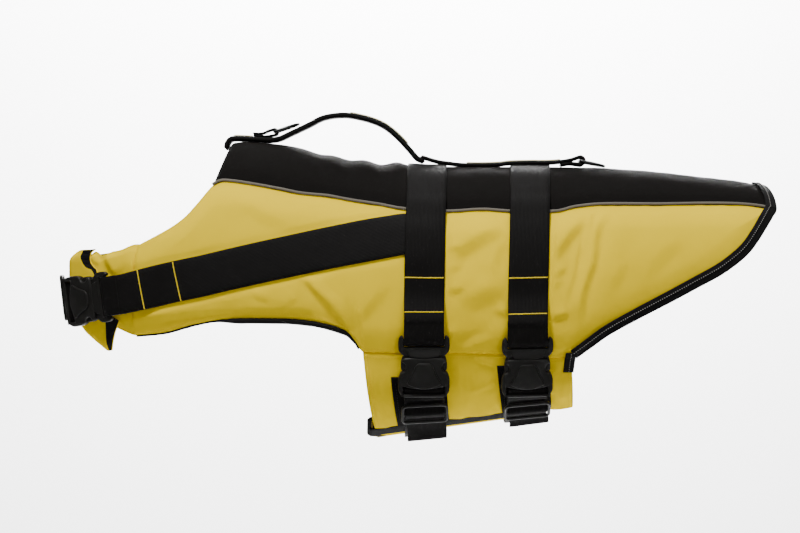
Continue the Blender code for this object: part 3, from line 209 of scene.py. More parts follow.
# The middle lines of the handles and of the front ring's loop. Columns: x, z
FRONT_HANDLE = (
    (-0.2530, 0.0238), (-0.2522, 0.0280), (-0.2494, 0.0318), (-0.2440, 0.0332), (-0.2250, 0.0324),
    (-0.2100, 0.0316), (-0.2000, 0.0330), (-0.1880, 0.0385), (-0.1710, 0.0465),
    (-0.1555, 0.0540), (-0.1350, 0.0565), (-0.1150, 0.0530),
    (-0.1000, 0.0478), (-0.0900, 0.0415), (-0.0800, 0.0325), (-0.0700, 0.0215), (-0.0630, 0.0136),
    (-0.0570, 0.0109),
)
REAR_HANDLE = (
    (-0.0580, 0.0148), (-0.0500, 0.0122), (-0.0420, 0.0100), (-0.0330, 0.0087), (-0.0200, 0.0071),
    (0.0000, 0.0067), (0.0180, 0.0072), (0.0300, 0.0085), (0.0500, 0.0090), (0.0680, 0.0090),
    (0.0800, 0.0100), (0.0900, 0.0118),
)
REAR_HANDLE_RETURN = ((0.0940, 0.0079), (0.0880, 0.0082), (0.0810, 0.0070))
HANDLE_TAPE_HALF = 0.006
HANDLE_TAPE_THICK = 0.0013
# Columns: name, first x, last x
HANDLE_TAPES = (("front", -0.2460, -0.2270), ("arch", -0.1300, -0.0740), ("rear", -0.0150, 0.0810))
RING_TAB_WIDTH = 0.024
RING_TAB_THICK = 0.0021
RING_TAB_FRONT = ((-0.2255, 0.0361), (-0.2200, 0.0358), (-0.2150, 0.0354), (-0.2105, 0.0358))
RING_TAB_BACK = ((-0.2112, 0.0409), (-0.2155, 0.0389), (-0.2200, 0.0381), (-0.2262, 0.0383))
# From the middle of a ring's straight bar to the webbing round it
RING_CLEAR = 0.0021
# Rings, in millimetres: half width, depth, radius of the wire
RING_HALF, RING_DEPTH, RING_WIRE = 16.8, 25.0, 1.35
# Columns: x and z of the straight bar, tilt in degrees
REAR_RING = (0.0995, 0.0108, -11.5)
FRONT_RING = (-0.2050, 0.0398, 19.0)

# Folds that only the looks have, in the side view: points along each crest, width of its shaded face
# (on the tail side of a crest running down; the other side where negative) and height
FINE_FOLDS = (
    (((0.1211, -0.0424), (0.1154, -0.0508), (0.1099, -0.0581), (0.1069, -0.0701), (0.1057, -0.0822),
      (0.1039, -0.0931), (0.0991, -0.1051), (0.0942, -0.1196), (0.0922, -0.1341), (0.0908, -0.1521)),
     0.0072, 0.0024),
    (((0.0973, -0.0472), (0.0912, -0.0563), (0.0834, -0.0647), (0.0774, -0.0720), (0.0695, -0.0822),
      (0.0635, -0.0906)), 0.0085, 0.0019),
    (((0.0924, -0.0689), (0.0912, -0.0810), (0.0892, -0.0931), (0.0867, -0.1039), (0.0830, -0.1148),
      (0.0792, -0.1280)), 0.0036, 0.0009),
    (((0.1057, -0.0436), (0.1039, -0.0521), (0.1027, -0.0617)), 0.0040, 0.0008),
    (((0.0804, -0.0955), (0.0731, -0.1015), (0.0659, -0.1051)), 0.0040, 0.0010),
    (((0.0792, -0.1075), (0.0719, -0.1111), (0.0647, -0.1148)), 0.0035, 0.0008),
    (((0.0828, -0.1377), (0.0731, -0.1407), (0.0635, -0.1425)), 0.0050, 0.0016),
    (((0.1346, -0.0906), (0.1304, -0.0991), (0.1274, -0.1123)), 0.0060, 0.0007),
    (((0.0792, -0.1690), (0.0695, -0.1738), (0.0599, -0.1763)), 0.0050, 0.0012),
    (((0.0189, -0.0563), (0.0092, -0.0617), (-0.0028, -0.0665), (-0.0161, -0.0738),
      (-0.0281, -0.0822), (-0.0366, -0.0882)), 0.0115, 0.0022),
    (((0.0237, -0.0701), (0.0141, -0.0786), (0.0092, -0.0906), (0.0068, -0.1051)), 0.0090, 0.0010),
    (((0.0237, -0.1099), (0.0116, -0.1136), (-0.0004, -0.1154), (-0.0125, -0.1220),
      (-0.0233, -0.1316)), 0.0180, 0.0026),
    (((0.0104, -0.1546), (-0.0101, -0.1600), (-0.0281, -0.1714)), 0.0080, -0.0012),
    (((-0.0221, -0.0768), (-0.0281, -0.0786), (-0.0360, -0.0816)), 0.0030, 0.0009),
    (((-0.0197, -0.0931), (-0.0281, -0.0967), (-0.0360, -0.1015)), 0.0040, 0.0010),
    (((-0.0185, -0.1136), (-0.0269, -0.1172), (-0.0360, -0.1196)), 0.0040, 0.0012),
    (((0.0116, -0.1341), (0.0165, -0.1365), (0.0261, -0.1389)), -0.0060, 0.0014),
    (((-0.0342, -0.1533), (-0.0281, -0.1582), (-0.0269, -0.1654)), -0.0060, 0.0010),
    (((-0.1754, -0.0991), (-0.1681, -0.1075), (-0.1603, -0.1160), (-0.1470, -0.1292),
      (-0.1350, -0.1437), (-0.1253, -0.1588)), -0.0064, 0.0026),
    (((-0.2483, -0.1369), (-0.2290, -0.1350), (-0.2049, -0.1341), (-0.1760, -0.1348),
      (-0.1639, -0.1365), (-0.1543, -0.1413)), -0.0078, 0.0013),
    (((-0.2224, -0.1178), (-0.2158, -0.1234), (-0.2049, -0.1271)), -0.0040, 0.0008),
    (((-0.1808, -0.1208), (-0.1880, -0.1292), (-0.1905, -0.1353)), 0.0060, 0.0007),
    (((-0.3308, -0.1442), (-0.2922, -0.1384), (-0.2392, -0.1345)), -0.0075, 0.0012),
    (((-0.2363, -0.0255), (-0.2131, -0.0448), (-0.1765, -0.0574)), -0.0110, 0.0009),
    (((-0.0945, -0.1075), (-0.1070, -0.1268), (-0.1263, -0.1480)), 0.0100, 0.0011),
    (((0.1901, -0.0641), (0.1612, -0.0902), (0.1515, -0.1123)), 0.0140, 0.0009),
)
# The same in the near chest flap
CHEST_FOLDS = (
    (((-0.3668, -0.0814), (-0.3631, -0.0906), (-0.3588, -0.0979), (-0.3551, -0.1041)), -0.0070, 0.0018),
    (((-0.3784, -0.0820), (-0.3796, -0.0869), (-0.3760, -0.0930)), 0.0040, 0.0010),
    (((-0.3490, -0.1494), (-0.3392, -0.1445), (-0.3299, -0.1396)), -0.0060, 0.0010),
)
# The same in the belly flaps
FLAP_FOLDS = (
    (((0.0213, -0.1905), (0.0068, -0.1866), (-0.0105, -0.1828)), 0.0040, 0.0012),
    (((0.0165, -0.1982), (0.0030, -0.2059), (-0.0144, -0.2136)), 0.0070, 0.0014),
    (((0.0888, -0.1866), (0.0744, -0.1905), (0.0666, -0.1963)), 0.0040, 0.0010),
    (((-0.0240, -0.1866), (-0.0202, -0.2233), (-0.0240, -0.2522)), 0.0080, 0.0010),
    (((-0.1089, -0.1847), (-0.1032, -0.2185), (-0.0954, -0.2474)), 0.0060, 0.0010),
    (((0.0801, -0.1963), (0.0763, -0.2233)), -0.0060, 0.0010),
)
FOLD_DEPTH = 1.4
# Across a fold, in widths from its crest: long rise, crest, shaded face, hollow, slow return
FOLD_ACROSS = np.array([(-3.0, 0.0), (-1.6, 0.22), (-0.6, 0.72), (-0.15, 0.97), (0.1, 0.93), (0.9, -0.42),
                        (1.15, -0.5), (2.0, -0.28), (3.4, 0.0)])
# Crumples of the back panel that only the looks have. Columns as above
BACK_CRUMPLES = (
    (-0.178, 0.010, 0.010, 0.050, 0.0009),
    (-0.160, -0.022, 0.008, 0.030, -0.0009),
    (-0.148, 0.030, 0.007, 0.034, 0.0010),
    (-0.132, -0.030, 0.006, 0.026, -0.0012),
    (-0.126, 0.026, 0.006, 0.028, -0.0010),
    (-0.108, -0.044, 0.008, 0.022, 0.0012),
    (-0.093, 0.036, 0.006, 0.026, 0.0011),
    (-0.080, -0.060, 0.007, 0.018, -0.0008),
    (0.082, 0.000, 0.010, 0.050, -0.0007),
    (0.120, 0.020, 0.018, 0.045, 0.0008),
    (0.190, -0.016, 0.024, 0.050, 0.0008),
    (0.238, 0.018, 0.014, 0.044, -0.0007),
    (0.008, 0.000, 0.018, 0.060, 0.0007),
)

# Stitches: pitch, length, width, height as a share of the width
HEM_STITCH = (0.0034, 0.0024, 0.0006, 0.5)
PANEL_STITCH = (0.0030, 0.0021, 0.0005, 0.5)
BINDING_STITCH = (0.0024, 0.0011, 0.0008, 0.4)
TACK_STITCH = (0.00125, 0.0017, 0.0011, 0.55)
TACK_SLANT = 0.35
# Heights of the rows of yellow stitches on the girth straps, and their x on the chest strap
GIRTH_TACKS = (-0.1040, -0.1385)
CHEST_TACKS = (-0.3320, -0.2965)

# Studio: a floor that curves up into a wall
FLOOR_Z, FLOOR_FRONT, FLOOR_HALF = -6.5, -12.0, 14.0
WALL_Y, WALL_TOP, CURVE_RADIUS = 7.5, 9.0, 2.5
WORLD_LIGHT = 0.17
# Lamps. Columns: name, place, size, power, aim
LAMPS = (
    ("key", (-0.8, -1.4, 2.6), 0.6, 128.0, (0, 0, -0.1)),
    ("fill", (0.9, -2.8, 0.3), 1.8, 24.0, (0, 0, -0.1)),
    ("top", (-0.1, 1.2, 2.6), 2.2, 54.0, (0, 0, -0.1)),
    ("under", (0.2, 1.2, -2.6), 1.6, 30.0, (0, 0, -0.1)),
    ("backdrop", (0.0, 5.6, 3.2), 3.0, 2600.0, (0, WALL_Y, 0)),
)
CAMERA_PLACE = (-0.08, -3.2, -0.0945)
CAMERA_LENS = 144


# The form


def slopes(x, y):
    """Slopes at the points of a curve that never overshoots them."""
    step, rise = np.diff(x), np.diff(y)
    d = rise / step
    out = np.zeros(len(x))
    for i in range(1, len(x) - 1):
        if d[i - 1] * d[i] > 0:
            wa, wb = 2 * step[i] + step[i - 1], step[i] + 2 * step[i - 1]
            out[i] = (wa + wb) / (wa / d[i - 1] + wb / d[i])
    out[0], out[-1] = d[0], d[-1]
    return out


def smooth_curve(x, y):
    """A function of a number or an array: the smooth curve through the points, level past its ends."""
    x, y = np.asarray(x, float), np.asarray(y, float)
    m = slopes(x, y)

    def at(value):
        value = np.clip(value, x[0], x[-1])
        i = np.clip(np.searchsorted(x, value, side="right") - 1, 0, len(x) - 2)
        h = x[i + 1] - x[i]
        t = (value - x[i]) / h
        return (
            y[i] * (1 + 2 * t) * (1 - t) ** 2
            + m[i] * h * t * (1 - t) ** 2
            + y[i + 1] * t * t * (3 - 2 * t)
            + m[i + 1] * h * t * t * (t - 1)
        )

    return at


def smoothstep(t):
    t = np.clip(t, 0.0, 1.0)
    return t * t * (3 - 2 * t)


TOP_AT, MID_AT, LOW_AT, HALF_AT = (smooth_curve(BARREL[:, 0], BARREL[:, k]) for k in range(1, 5))
NOSE_AT = smooth_curve(NOSE[:, 0], NOSE[:, 1])


def chest_plan(turn):
    t = np.where(turn <= 1, turn, 2 - turn)
    along = 3 * t * (1 - t) ** 2 * CHEST_HANDLE_ALONG + 3 * t * t * (1 - t) + t**3
    across = (1 - t) ** 3 + 3 * t * (1 - t) ** 2 + 3 * t * t * (1 - t) * CHEST_HANDLE_ACROSS
    return along, np.where(turn <= 1, across, -across)


def form(s, a, side):
    """Points on the form, for numbers or arrays."""
    s, a = np.broadcast_arrays(np.asarray(s, float), np.asarray(a, float))
    at = np.maximum(s, FRONT_X)
    top, mid, low, half = TOP_AT(at), MID_AT(at), LOW_AT(at), HALF_AT(at)
    power = 2 / FULLNESS
    rise = np.abs(np.cos(a)) ** power
    z = np.where(np.cos(a) >= 0, mid + (top - mid) * rise, mid - (mid - low) * rise)
    y = half * np.sign(np.sin(a)) * np.abs(np.sin(a)) ** power
    along, across = chest_plan(np.maximum((FRONT_X - s) / WRAP_LENGTH, 0))
    x = np.where(s < FRONT_X, FRONT_X - NOSE_AT(z) * along, s)
    y = np.where(s < FRONT_X, y * across, y)
    return np.stack([x, side * y, z], -1)


def normal(s, a, side):
    ds = form(s + 0.002, a, side) - form(s - 0.002, a, side)
    da = form(s, a + 0.016, side) - form(s, a - 0.016, side)
    side = np.asarray(side)[..., None] if np.ndim(side) else side
    n = np.cross(ds, da) * side
    return n / np.linalg.norm(n, axis=-1, keepdims=True)


def lay(s, a, side, offset):
    return form(s, a, side) + normal(s, a, side) * np.asarray(offset)[..., None]


def angle_at(s, z):
    at = np.maximum(s, FRONT_X)
    top, mid, low = TOP_AT(at), MID_AT(at), LOW_AT(at)
    share = np.clip(np.where(z >= mid, (z - mid) / (top - mid), (z - mid) / (mid - low)), -1, 1)
    return np.arccos(np.sign(share) * np.abs(share) ** (FULLNESS / 2))


def chest_station(turn):
    return FRONT_X - WRAP_LENGTH * turn


def station_at(x, z):
    if x >= FRONT_X:
        return x
    want = (FRONT_X - x) / NOSE_AT(z)
    low, high = 0.0, 1.0
    for _ in range(40):
        mid = (low + high) / 2
        low, high = (mid, high) if chest_plan(mid)[0] < want else (low, mid)
    return chest_station((low + high) / 2)


def side_edges():
    rows = []
    for x_top, z_top, x_low, z_low in SIDE:
        s_top, s_low = station_at(x_top, z_top), station_at(x_low, z_low)
        rows.append((s_top, angle_at(s_top, z_top), s_low, angle_at(s_low, z_low), z_top, z_low))
    rows = np.array(rows, float)
    along = np.arange(len(rows), dtype=float)
    by_row = [smooth_curve(along, rows[:, k]) for k in range(4)]
    return by_row, smooth_curve(rows[:, 0], rows[:, 4]), smooth_curve(rows[:, 2], rows[:, 5])


SIDE_BY_ROW, SEAM_Z, SIDE_LOW_Z = side_edges()


def side_place(row, v):
    s_top, a_top, s_low, a_low = (c(row) for c in SIDE_BY_ROW)
    return s_top + (s_low - s_top) * v, a_top + (a_low - a_top) * v


def line_folds(x, z, table):
    """Height of folds at places in the side view, each fading at both ends of its crest."""
    total = np.zeros_like(x)
    for points, width, height in table:
        points = np.array(points)
        lengths = np.linalg.norm(np.diff(points, axis=0), axis=1)
        whole, start = lengths.sum(), 0.0
        best, at = np.full_like(x, 9.0), np.zeros_like(x)
        for p, q, length in zip(points[:-1], points[1:], lengths, strict=True):
            d = (q - p) / length
            t = np.clip((x - p[0]) * d[0] + (z - p[1]) * d[1], 0, length)
            away = np.hypot(x - p[0] - d[0] * t, z - p[1] - d[1] * t)
            away = away * np.where((z - p[1]) * d[0] - (x - p[0]) * d[1] < 0, -1, 1)
            closer = np.abs(away) < np.abs(best)
            best = np.where(closer, away, best)
            at = np.where(closer, (start + t) / whole, at)
            start += length
        fade = np.clip(np.sin(np.pi * np.clip(at, 0.03, 0.97)) * 1.3, 0, 1)
        total += FOLD_DEPTH * height * np.interp(best / width, FOLD_ACROSS[:, 0], FOLD_ACROSS[:, 1]) * fade
    return total


def fold_height(x, z):
    """The folds that the solids have."""
    total = np.zeros_like(np.asarray(x, float))
    for xa, za, xb, zb, half_width, height in FOLDS:
        length2 = (xb - xa) ** 2 + (zb - za) ** 2
        t = ((x - xa) * (xb - xa) + (z - za) * (zb - za)) / length2
        away = np.hypot(x - xa - (xb - xa) * t, z - za - (zb - za) * t)
        total = total + height * np.exp(-((away / half_width) ** 2)) * np.exp(-((2 * t - 1) ** 4))
    return total


def crumple_height(x, y, table=CRUMPLES):
    total = np.zeros_like(x)
    for cx, cy, half_length, half_width, height in table:
        total = total + height * np.exp(-(((x - cx) / half_length) ** 2) - ((y - cy) / half_width) ** 2)
    return total


def noise(u, v, size, seed):
    """Smooth seeded noise from -1 to 1 with blobs of the given size."""
    grid = np.random.default_rng(seed).uniform(-1, 1, (64, 64))
    gu, gv = u / size + 1000.0, v / size + 1000.0
    iu, iv = np.floor(gu).astype(int), np.floor(gv).astype(int)
    tu, tv = gu - iu, gv - iv
    tu, tv = tu * tu * (3 - 2 * tu), tv * tv * (3 - 2 * tv)
    iu, iv, ju, jv = iu % 64, iv % 64, (iu + 1) % 64, (iv + 1) % 64
    top = grid[iu, iv] * (1 - tu) + grid[ju, iv] * tu
    low = grid[iu, jv] * (1 - tu) + grid[ju, jv] * tu
    return top * (1 - tv) + low * tv


def edge_inside(s, a, side):
    """How far a place is inside the side panel's upper and lower edges."""
    z = form(s, a, side)[..., 2]
    slope = (SIDE_LOW_Z(s + 0.002) - SIDE_LOW_Z(s - 0.002)) / 0.004
    return SEAM_Z(s) - z, (z - SIDE_LOW_Z(s)) / np.hypot(1, slope)


def side_thick(s, a, side):
    inside = np.minimum(*edge_inside(s, a, side))
    return SIDE_EDGE_THICK + (SIDE_FOAM_THICK - SIDE_EDGE_THICK) * smoothstep(inside / FOAM_RAMP)


def left_flap_lift(z):
    return (FLAP_THICK + LAY_GAP) * smoothstep((FLAP_LIFT_START_Z - z) / FLAP_LIFT_LENGTH)


def cover(s, a, side):
    """Outer height of the cloth over the form, under a strap."""
    p = form(s, a, side)
    x, y, z = p[..., 0], p[..., 1], p[..., 2]
    back = BACK_THICK + crumple_height(x, y)
    panel = side_thick(s, a, side) + np.maximum(fold_height(x, z), 0)
    flap = FLAP_THICK + (left_flap_lift(z) if side == LEFT else 0.0)
    near = 1 - smoothstep((SIDE_LOW_Z(s) - z) / 0.012)
    flap = flap + np.maximum(SIDE_EDGE_THICK - flap, 0) * near
    return np.where(z >= SEAM_Z(s), back, np.where(z >= SIDE_LOW_Z(s), panel, flap))


# Materials


def make_material(name, colour, roughness, metallic=0.0, specular=0.5):
    made = bpy.data.materials.new(name)
    made.use_nodes = True
    made.diffuse_color = (*colour, 1)
    shader = made.node_tree.nodes["Principled BSDF"]
    shader.inputs["Base Color"].default_value = (*colour, 1)
    shader.inputs["Roughness"].default_value = roughness
    shader.inputs["Metallic"].default_value = metallic
    shader.inputs["Specular IOR Level"].default_value = specular
    return made, made.node_tree, shader


def add_node(tree, kind, **settings):
    node = tree.nodes.new(kind)
    for key, value in settings.items():
        setattr(node, key, value)
    return node


def math_node(tree, operation, *values):
    node = add_node(tree, "ShaderNodeMath", operation=operation)
    for k, value in enumerate(values):
        if isinstance(value, (int, float)):
            node.inputs[k].default_value = value
        else:
            tree.links.new(value, node.inputs[k])
    return node.outputs[0]


def scaled_uv(tree, u, v):
    place = add_node(tree, "ShaderNodeMapping")
    place.inputs["Scale"].default_value = (u, v, 1)
    tree.links.new(tree.nodes["place"].outputs["UV"], place.inputs["Vector"])
    return place.outputs["Vector"]


def noise_node(tree, vector, scale, detail=3.0):
    node = add_node(tree, "ShaderNodeTexNoise")
    node.inputs["Scale"].default_value = scale
    node.inputs["Detail"].default_value = detail
    tree.links.new(vector, node.inputs["Vector"])
    return node.outputs["Fac"]


def thread_wave(tree, direction, pitch):
    """Threads across one direction of the cloth, as a height from -1 to 1."""
    node = add_node(tree, "ShaderNodeTexWave", bands_direction=direction)
    node.inputs["Scale"].default_value = math.pi / 10 / pitch
    node.inputs["Distortion"].default_value = 0.0
    tree.links.new(tree.nodes["place"].outputs["UV"], node.inputs["Vector"])
    return math_node(tree, "MULTIPLY_ADD", node.outputs["Fac"], 2.0, -1.0)


def add_bump(tree, shader, height, strength, distance):
    bumped = add_node(tree, "ShaderNodeBump")
    bumped.inputs["Strength"].default_value = strength
    bumped.inputs["Distance"].default_value = distance
    tree.links.new(height, bumped.inputs["Height"])
    tree.links.new(bumped.outputs["Normal"], shader.inputs["Normal"])


def woven(name, colour, dark, pitch=0.00055, roughness=0.7, bump=0.35, rib=None, specular=0.06):
    """Woven cloth: plain weave (or ribs of that pitch across the width), slubs and soft uneven colour."""
    slub, soft = 0.10, 0.06
    made, tree, shader = make_material(name, colour, roughness, specular=specular)
    place = add_node(tree, "ShaderNodeUVMap")
    place.name = "place"
    place.uv_map = "cloth"
    x, y = thread_wave(tree, "X", pitch), thread_wave(tree, "Y", rib or pitch)
    weave = math_node(tree, "MULTIPLY", x, y)
    if rib:
        weave = math_node(tree, "MULTIPLY_ADD", weave, 0.45, y)
    warp = noise_node(tree, scaled_uv(tree, 60, 1400), 1.0, 2.0)
    weft = noise_node(tree, scaled_uv(tree, 1400, 60), 1.0, 2.0)
    slubs = math_node(tree, "ADD", warp, weft)
    broad = noise_node(tree, scaled_uv(tree, 1, 1), 38.0, 3.0)
    tone = math_node(tree, "MULTIPLY_ADD", slubs, slub, 0.5 - slub)
    tone = math_node(tree, "MULTIPLY_ADD", broad, soft * 2, math_node(tree, "SUBTRACT", tone, soft))
    tone = math_node(tree, "MULTIPLY_ADD", weave, 0.05, tone)
    mix = add_node(tree, "ShaderNodeMix", data_type="RGBA")
    for socket, value in zip([i for i in mix.inputs if i.type == "RGBA"], (dark, colour), strict=True):
        socket.default_value = (*value, 1)
    tree.links.new(tone, mix.inputs["Factor"])
    out = [o for o in mix.outputs if o.type == "RGBA"][0]
    tree.links.new(out, shader.inputs["Base Color"])
    rough = math_node(tree, "MULTIPLY_ADD", broad, 0.16, roughness - 0.08)
    tree.links.new(rough, shader.inputs["Roughness"])
    add_bump(tree, shader, math_node(tree, "MULTIPLY_ADD", slubs, 0.8, weave), bump, 0.00012)
    return made


def moulded(name, colour, light, roughness=0.38, grain=900.0, metallic=0.0, bump=0.12):
    """Moulded plastic or coated metal: fine grain, slightly rubbed in places."""
    made, tree, shader = make_material(name, colour, roughness, metallic=metallic, specular=0.17)
    place = add_node(tree, "ShaderNodeTexCoord")
    broad = noise_node(tree, place.outputs["Object"], 60.0, 4.0)
    fine = noise_node(tree, place.outputs["Object"], grain, 2.0)
    ramp = add_node(tree, "ShaderNodeValToRGB")
    for element, position, tint in zip(ramp.color_ramp.elements, (0.45, 0.80), (colour, light), strict=True):
        element.position = position
        element.color = (*tint, 1)
    tree.links.new(broad, ramp.inputs["Fac"])
    tree.links.new(ramp.outputs["Color"], shader.inputs["Base Color"])
    rough = math_node(tree, "MULTIPLY_ADD", broad, 0.22, roughness - 0.08)
    tree.links.new(rough, shader.inputs["Roughness"])
    add_bump(tree, shader, fine, bump, 0.0001)
    return made


YELLOW = woven("yellow_nylon", (0.90, 0.645, 0.0), (0.80, 0.55, 0.0), specular=0.0)
BLACK = woven("black_nylon", (0.0086, 0.0077, 0.0070), (0.0048, 0.0043, 0.0039), specular=0.02)
LINING = woven("black_lining", (0.008, 0.008, 0.0085), (0.004, 0.004, 0.004), 0.0008, 0.8)
WEB = woven("black_webbing", (0.0090, 0.0083, 0.0080), (0.0046, 0.0042, 0.0040),
            0.0009, 0.55, 0.8, 0.0013, 0.05)
TAPE = woven("black_binding", (0.0085, 0.008, 0.008), (0.004, 0.0038, 0.0038), 0.0008, 0.60, 0.8, 0.0010)
GREY = woven("reflective_piping", (0.18, 0.165, 0.135), (0.11, 0.10, 0.08), 0.0005, 0.42, 0.5)
SHINE = make_material("reflective_thread", (0.30, 0.29, 0.27), 0.55, specular=0.2)[0]
# The handle tapes are painted pale cream all over: a painted highlight for the line of light along their tops
TAPE_PAINTED_HIGHLIGHT = make_material("tape_painted_highlight", (0.95, 0.84, 0.40), 0.5, specular=0.3)[0]
THREAD = make_material("yellow_thread", (0.85, 0.62, 0.03), 0.7, specular=0.1)[0]
FLAT_THREAD = make_material("panel_thread", (0.74, 0.50, 0.008), 0.7, specular=0.1)[0]
DARK_THREAD = make_material("black_thread", (0.010, 0.010, 0.010), 0.6, specular=0.2)[0]
PLASTIC = moulded("buckle_plastic", (0.0100, 0.0096, 0.0086), (0.0140, 0.0134, 0.0124))
METAL = moulded("ring_metal", (0.07, 0.07, 0.07), (0.13, 0.13, 0.13), 0.28, 500.0, 1.0, 0.05)


# Building


def link_object(name, data):
    obj = bpy.data.objects.new(name, data)
    bpy.context.scene.collection.objects.link(obj)
    return obj


def mesh_piece(name, verts, faces, finishes, slots=None, uv=None):
    """A mesh piece whose faces all turn outward."""
    verts = np.asarray(verts, float)
    mesh = bpy.data.meshes.new(name)
    mesh.from_pydata(verts.tolist(), [], faces)
    for finish in finishes:
        mesh.materials.append(finish)
    if slots is not None:
        mesh.polygons.foreach_set("material_index", np.asarray(slots, np.int32))
    if uv is not None:
        layer = mesh.uv_layers.new(name="cloth")
        loops = np.empty(len(mesh.loops), np.int32)
        mesh.loops.foreach_get("vertex_index", loops)
        layer.data.foreach_set("uv", np.asarray(uv, np.float32)[loops].ravel())
    bm = bmesh.new()
    bm.from_mesh(mesh)
    if bm.calc_volume(signed=True) < 0:
        bmesh.ops.reverse_faces(bm, faces=bm.faces[:])
        bm.to_mesh(mesh)
    bm.free()
    mesh.shade_smooth()
    return link_object(name, mesh)


def shell(name, outer, inner, finishes, outer_slots=None, swell=0.32):
    """A closed wall from two grids of points, with a rounded rim. Finishes: outside, inside, rim."""
    outer, inner = np.asarray(outer, float), np.asarray(inner, float)
    n, m = outer.shape[:2]
    index = np.arange(n * m).reshape(n, m)
    walk = [*[(i, 0) for i in range(n)], *[(n - 1, j) for j in range(1, m)]]
    walk += [*[(i, m - 1) for i in range(n - 2, -1, -1)], *[(0, j) for j in range(m - 2, 0, -1)]]
    rim, rim_uv = [], []
    along = np.linalg.norm(np.diff(outer, axis=0), axis=2).mean(axis=1)
    across = np.linalg.norm(np.diff(outer, axis=1), axis=2).mean(axis=0)
    u, v = np.r_[0, np.cumsum(along)], np.r_[0, np.cumsum(across)]
    grid_uv = np.stack(np.meshgrid(u, v, indexing="ij"), -1).reshape(-1, 2)
    for i, j in walk:
        o, p = outer[i, j], inner[i, j]
        away = np.zeros(3)
        if i in (0, n - 1):
            away += unit(o - outer[1 if i == 0 else n - 2, j])
        if j in (0, m - 1):
            away += unit(o - outer[i, 1 if j == 0 else m - 2])
        rim.append((o + p) / 2 + unit(away) * np.linalg.norm(o - p) * swell)
        rim_uv.append((u[i], v[j]))
    verts = np.concatenate([outer.reshape(-1, 3), inner.reshape(-1, 3), rim])
    uv = np.concatenate([grid_uv, grid_uv, rim_uv])
    quads = np.stack([index[:-1, :-1], index[1:, :-1], index[1:, 1:], index[:-1, 1:]], -1).reshape(-1, 4)
    outer_count = len(quads)
    faces = quads.tolist() + (quads[:, ::-1] + n * m).tolist()
    slots = np.zeros(outer_count, int) if outer_slots is None else np.asarray(outer_slots).ravel()
    slots = list(slots) + [min(1, len(finishes) - 1)] * outer_count
    for k, here in enumerate(walk):
        after = (k + 1) % len(walk)
        a, b = index[here], index[walk[after]]
        r, q = 2 * n * m + k, 2 * n * m + after
        faces += [[b, a, r, q], [q, r, a + n * m, b + n * m]]
        slots += [min(2, len(finishes) - 1)] * 2
    return mesh_piece(name, verts, [list(map(int, f)) for f in faces], finishes, slots, uv)


def unit(v):
    v = np.asarray(v, float)
    return v / max(np.linalg.norm(v), 1e-12)


def refine(rows, count):
    """Rows of points, each row one place along a strap, made finer along it by a smooth curve."""
    rows = np.asarray(rows, float)
    out = []
    for i in range(len(rows) - 1):
        a, b = rows[i], rows[i + 1]
        before = rows[i - 1] if i else 2 * a - b
        after = rows[i + 2] if i + 2 < len(rows) else 2 * b - a
        for k in range(count):
            t = k / count
            out.append(0.5 * (2 * a + (b - before) * t + (2 * before - 5 * a + 4 * b - after) * t * t
                              + (3 * a - before - 3 * b + after) * t**3))
    out.append(rows[-1])
    return np.array(out)


def across_rows(rows, count):
    """More points across each row of a strap."""
    rows = np.asarray(rows, float).transpose(1, 0, 2)
    old, new = np.linspace(0, 1, len(rows)), np.linspace(0, 1, count)
    made = np.array([[np.interp(new, old, rows[:, i, k]) for k in range(3)] for i in range(rows.shape[1])])
    return made.transpose(0, 2, 1)


def grid_normal(grid):
    n = np.cross(np.gradient(grid, axis=1), np.gradient(grid, axis=0))
    return n / np.maximum(np.linalg.norm(n, axis=2, keepdims=True), 1e-12)


def webbing(name, rows, thick, finish, steps=3, columns=11, thin=0.45, upward=False):
    """A strap from rows of points down its middle: thinner woven edges, full in the middle."""
    middle = across_rows(refine(rows, steps), columns)
    n = grid_normal(middle)
    # Outward is up, or away from the line down the middle of the body
    away = np.array((0, 0, 1)) if upward else middle - np.array((0, 0, MIDDLE_Z))
    if not upward:
        away[..., 0] = np.minimum(middle[..., 0] - FRONT_X, 0)
    n = n * np.sign((n * away).sum())
    c = np.abs(np.linspace(-1, 1, columns))
    profile = ((1 - thin * smoothstep((c - 0.86) / 0.14)) * thick / 2)[None, :, None]
    outer, inner = middle + n * profile, middle - n * profile
    return shell(name, outer, inner, [finish], swell=0.4), outer, n


def sew(name, points, normals, finish, stitch=PANEL_STITCH, slant=0.0):
    """A row of stitches along a line: short capsules half sunk in the cloth."""
    pitch, length, width, height = stitch
    points, normals = np.asarray(points, float), np.asarray(normals, float)
    at = np.r_[0, np.cumsum(np.linalg.norm(np.diff(points, axis=0), axis=1))]

    def along(place, rows):
        place = min(max(place, 0), at[-1])
        return np.array([np.interp(place, at, rows[:, k]) for k in range(3)])

    verts, faces = [], []
    for place in np.arange(pitch / 2, at[-1] - pitch / 4, pitch):
        p, n = along(place, points), unit(along(place, normals))
        d = unit(along(place + pitch * 0.3, points) - along(place - pitch * 0.3, points))
        c = np.cross(n, d)
        turned = unit(d * math.cos(slant) + c * math.sin(slant))
        d, c = turned, unit(c * math.cos(slant) - d * math.sin(slant))
        base = len(verts)
        for x, w, h in ((-0.5, 0.35, 0.2), (-0.3, 1.0, 1.0), (0.3, 1.0, 1.0), (0.5, 0.35, 0.2)):
            for t in range(6):
                angle = t / 6 * 2 * math.pi
                verts.append(p + d * length * x + c * math.cos(angle) * width / 2 * w
                             + n * (math.sin(angle) * width * height * h))
        for r in range(3):
            for t in range(6):
                a, b = base + r * 6 + t, base + r * 6 + (t + 1) % 6
                faces.append([a, b, b + 6, a + 6])
        faces.append([base + t for t in range(5, -1, -1)])
        faces.append([base + 18 + t for t in range(6)])
    done(mesh_piece(name, verts, faces, [finish], uv=np.array(verts)[:, :2]), [])


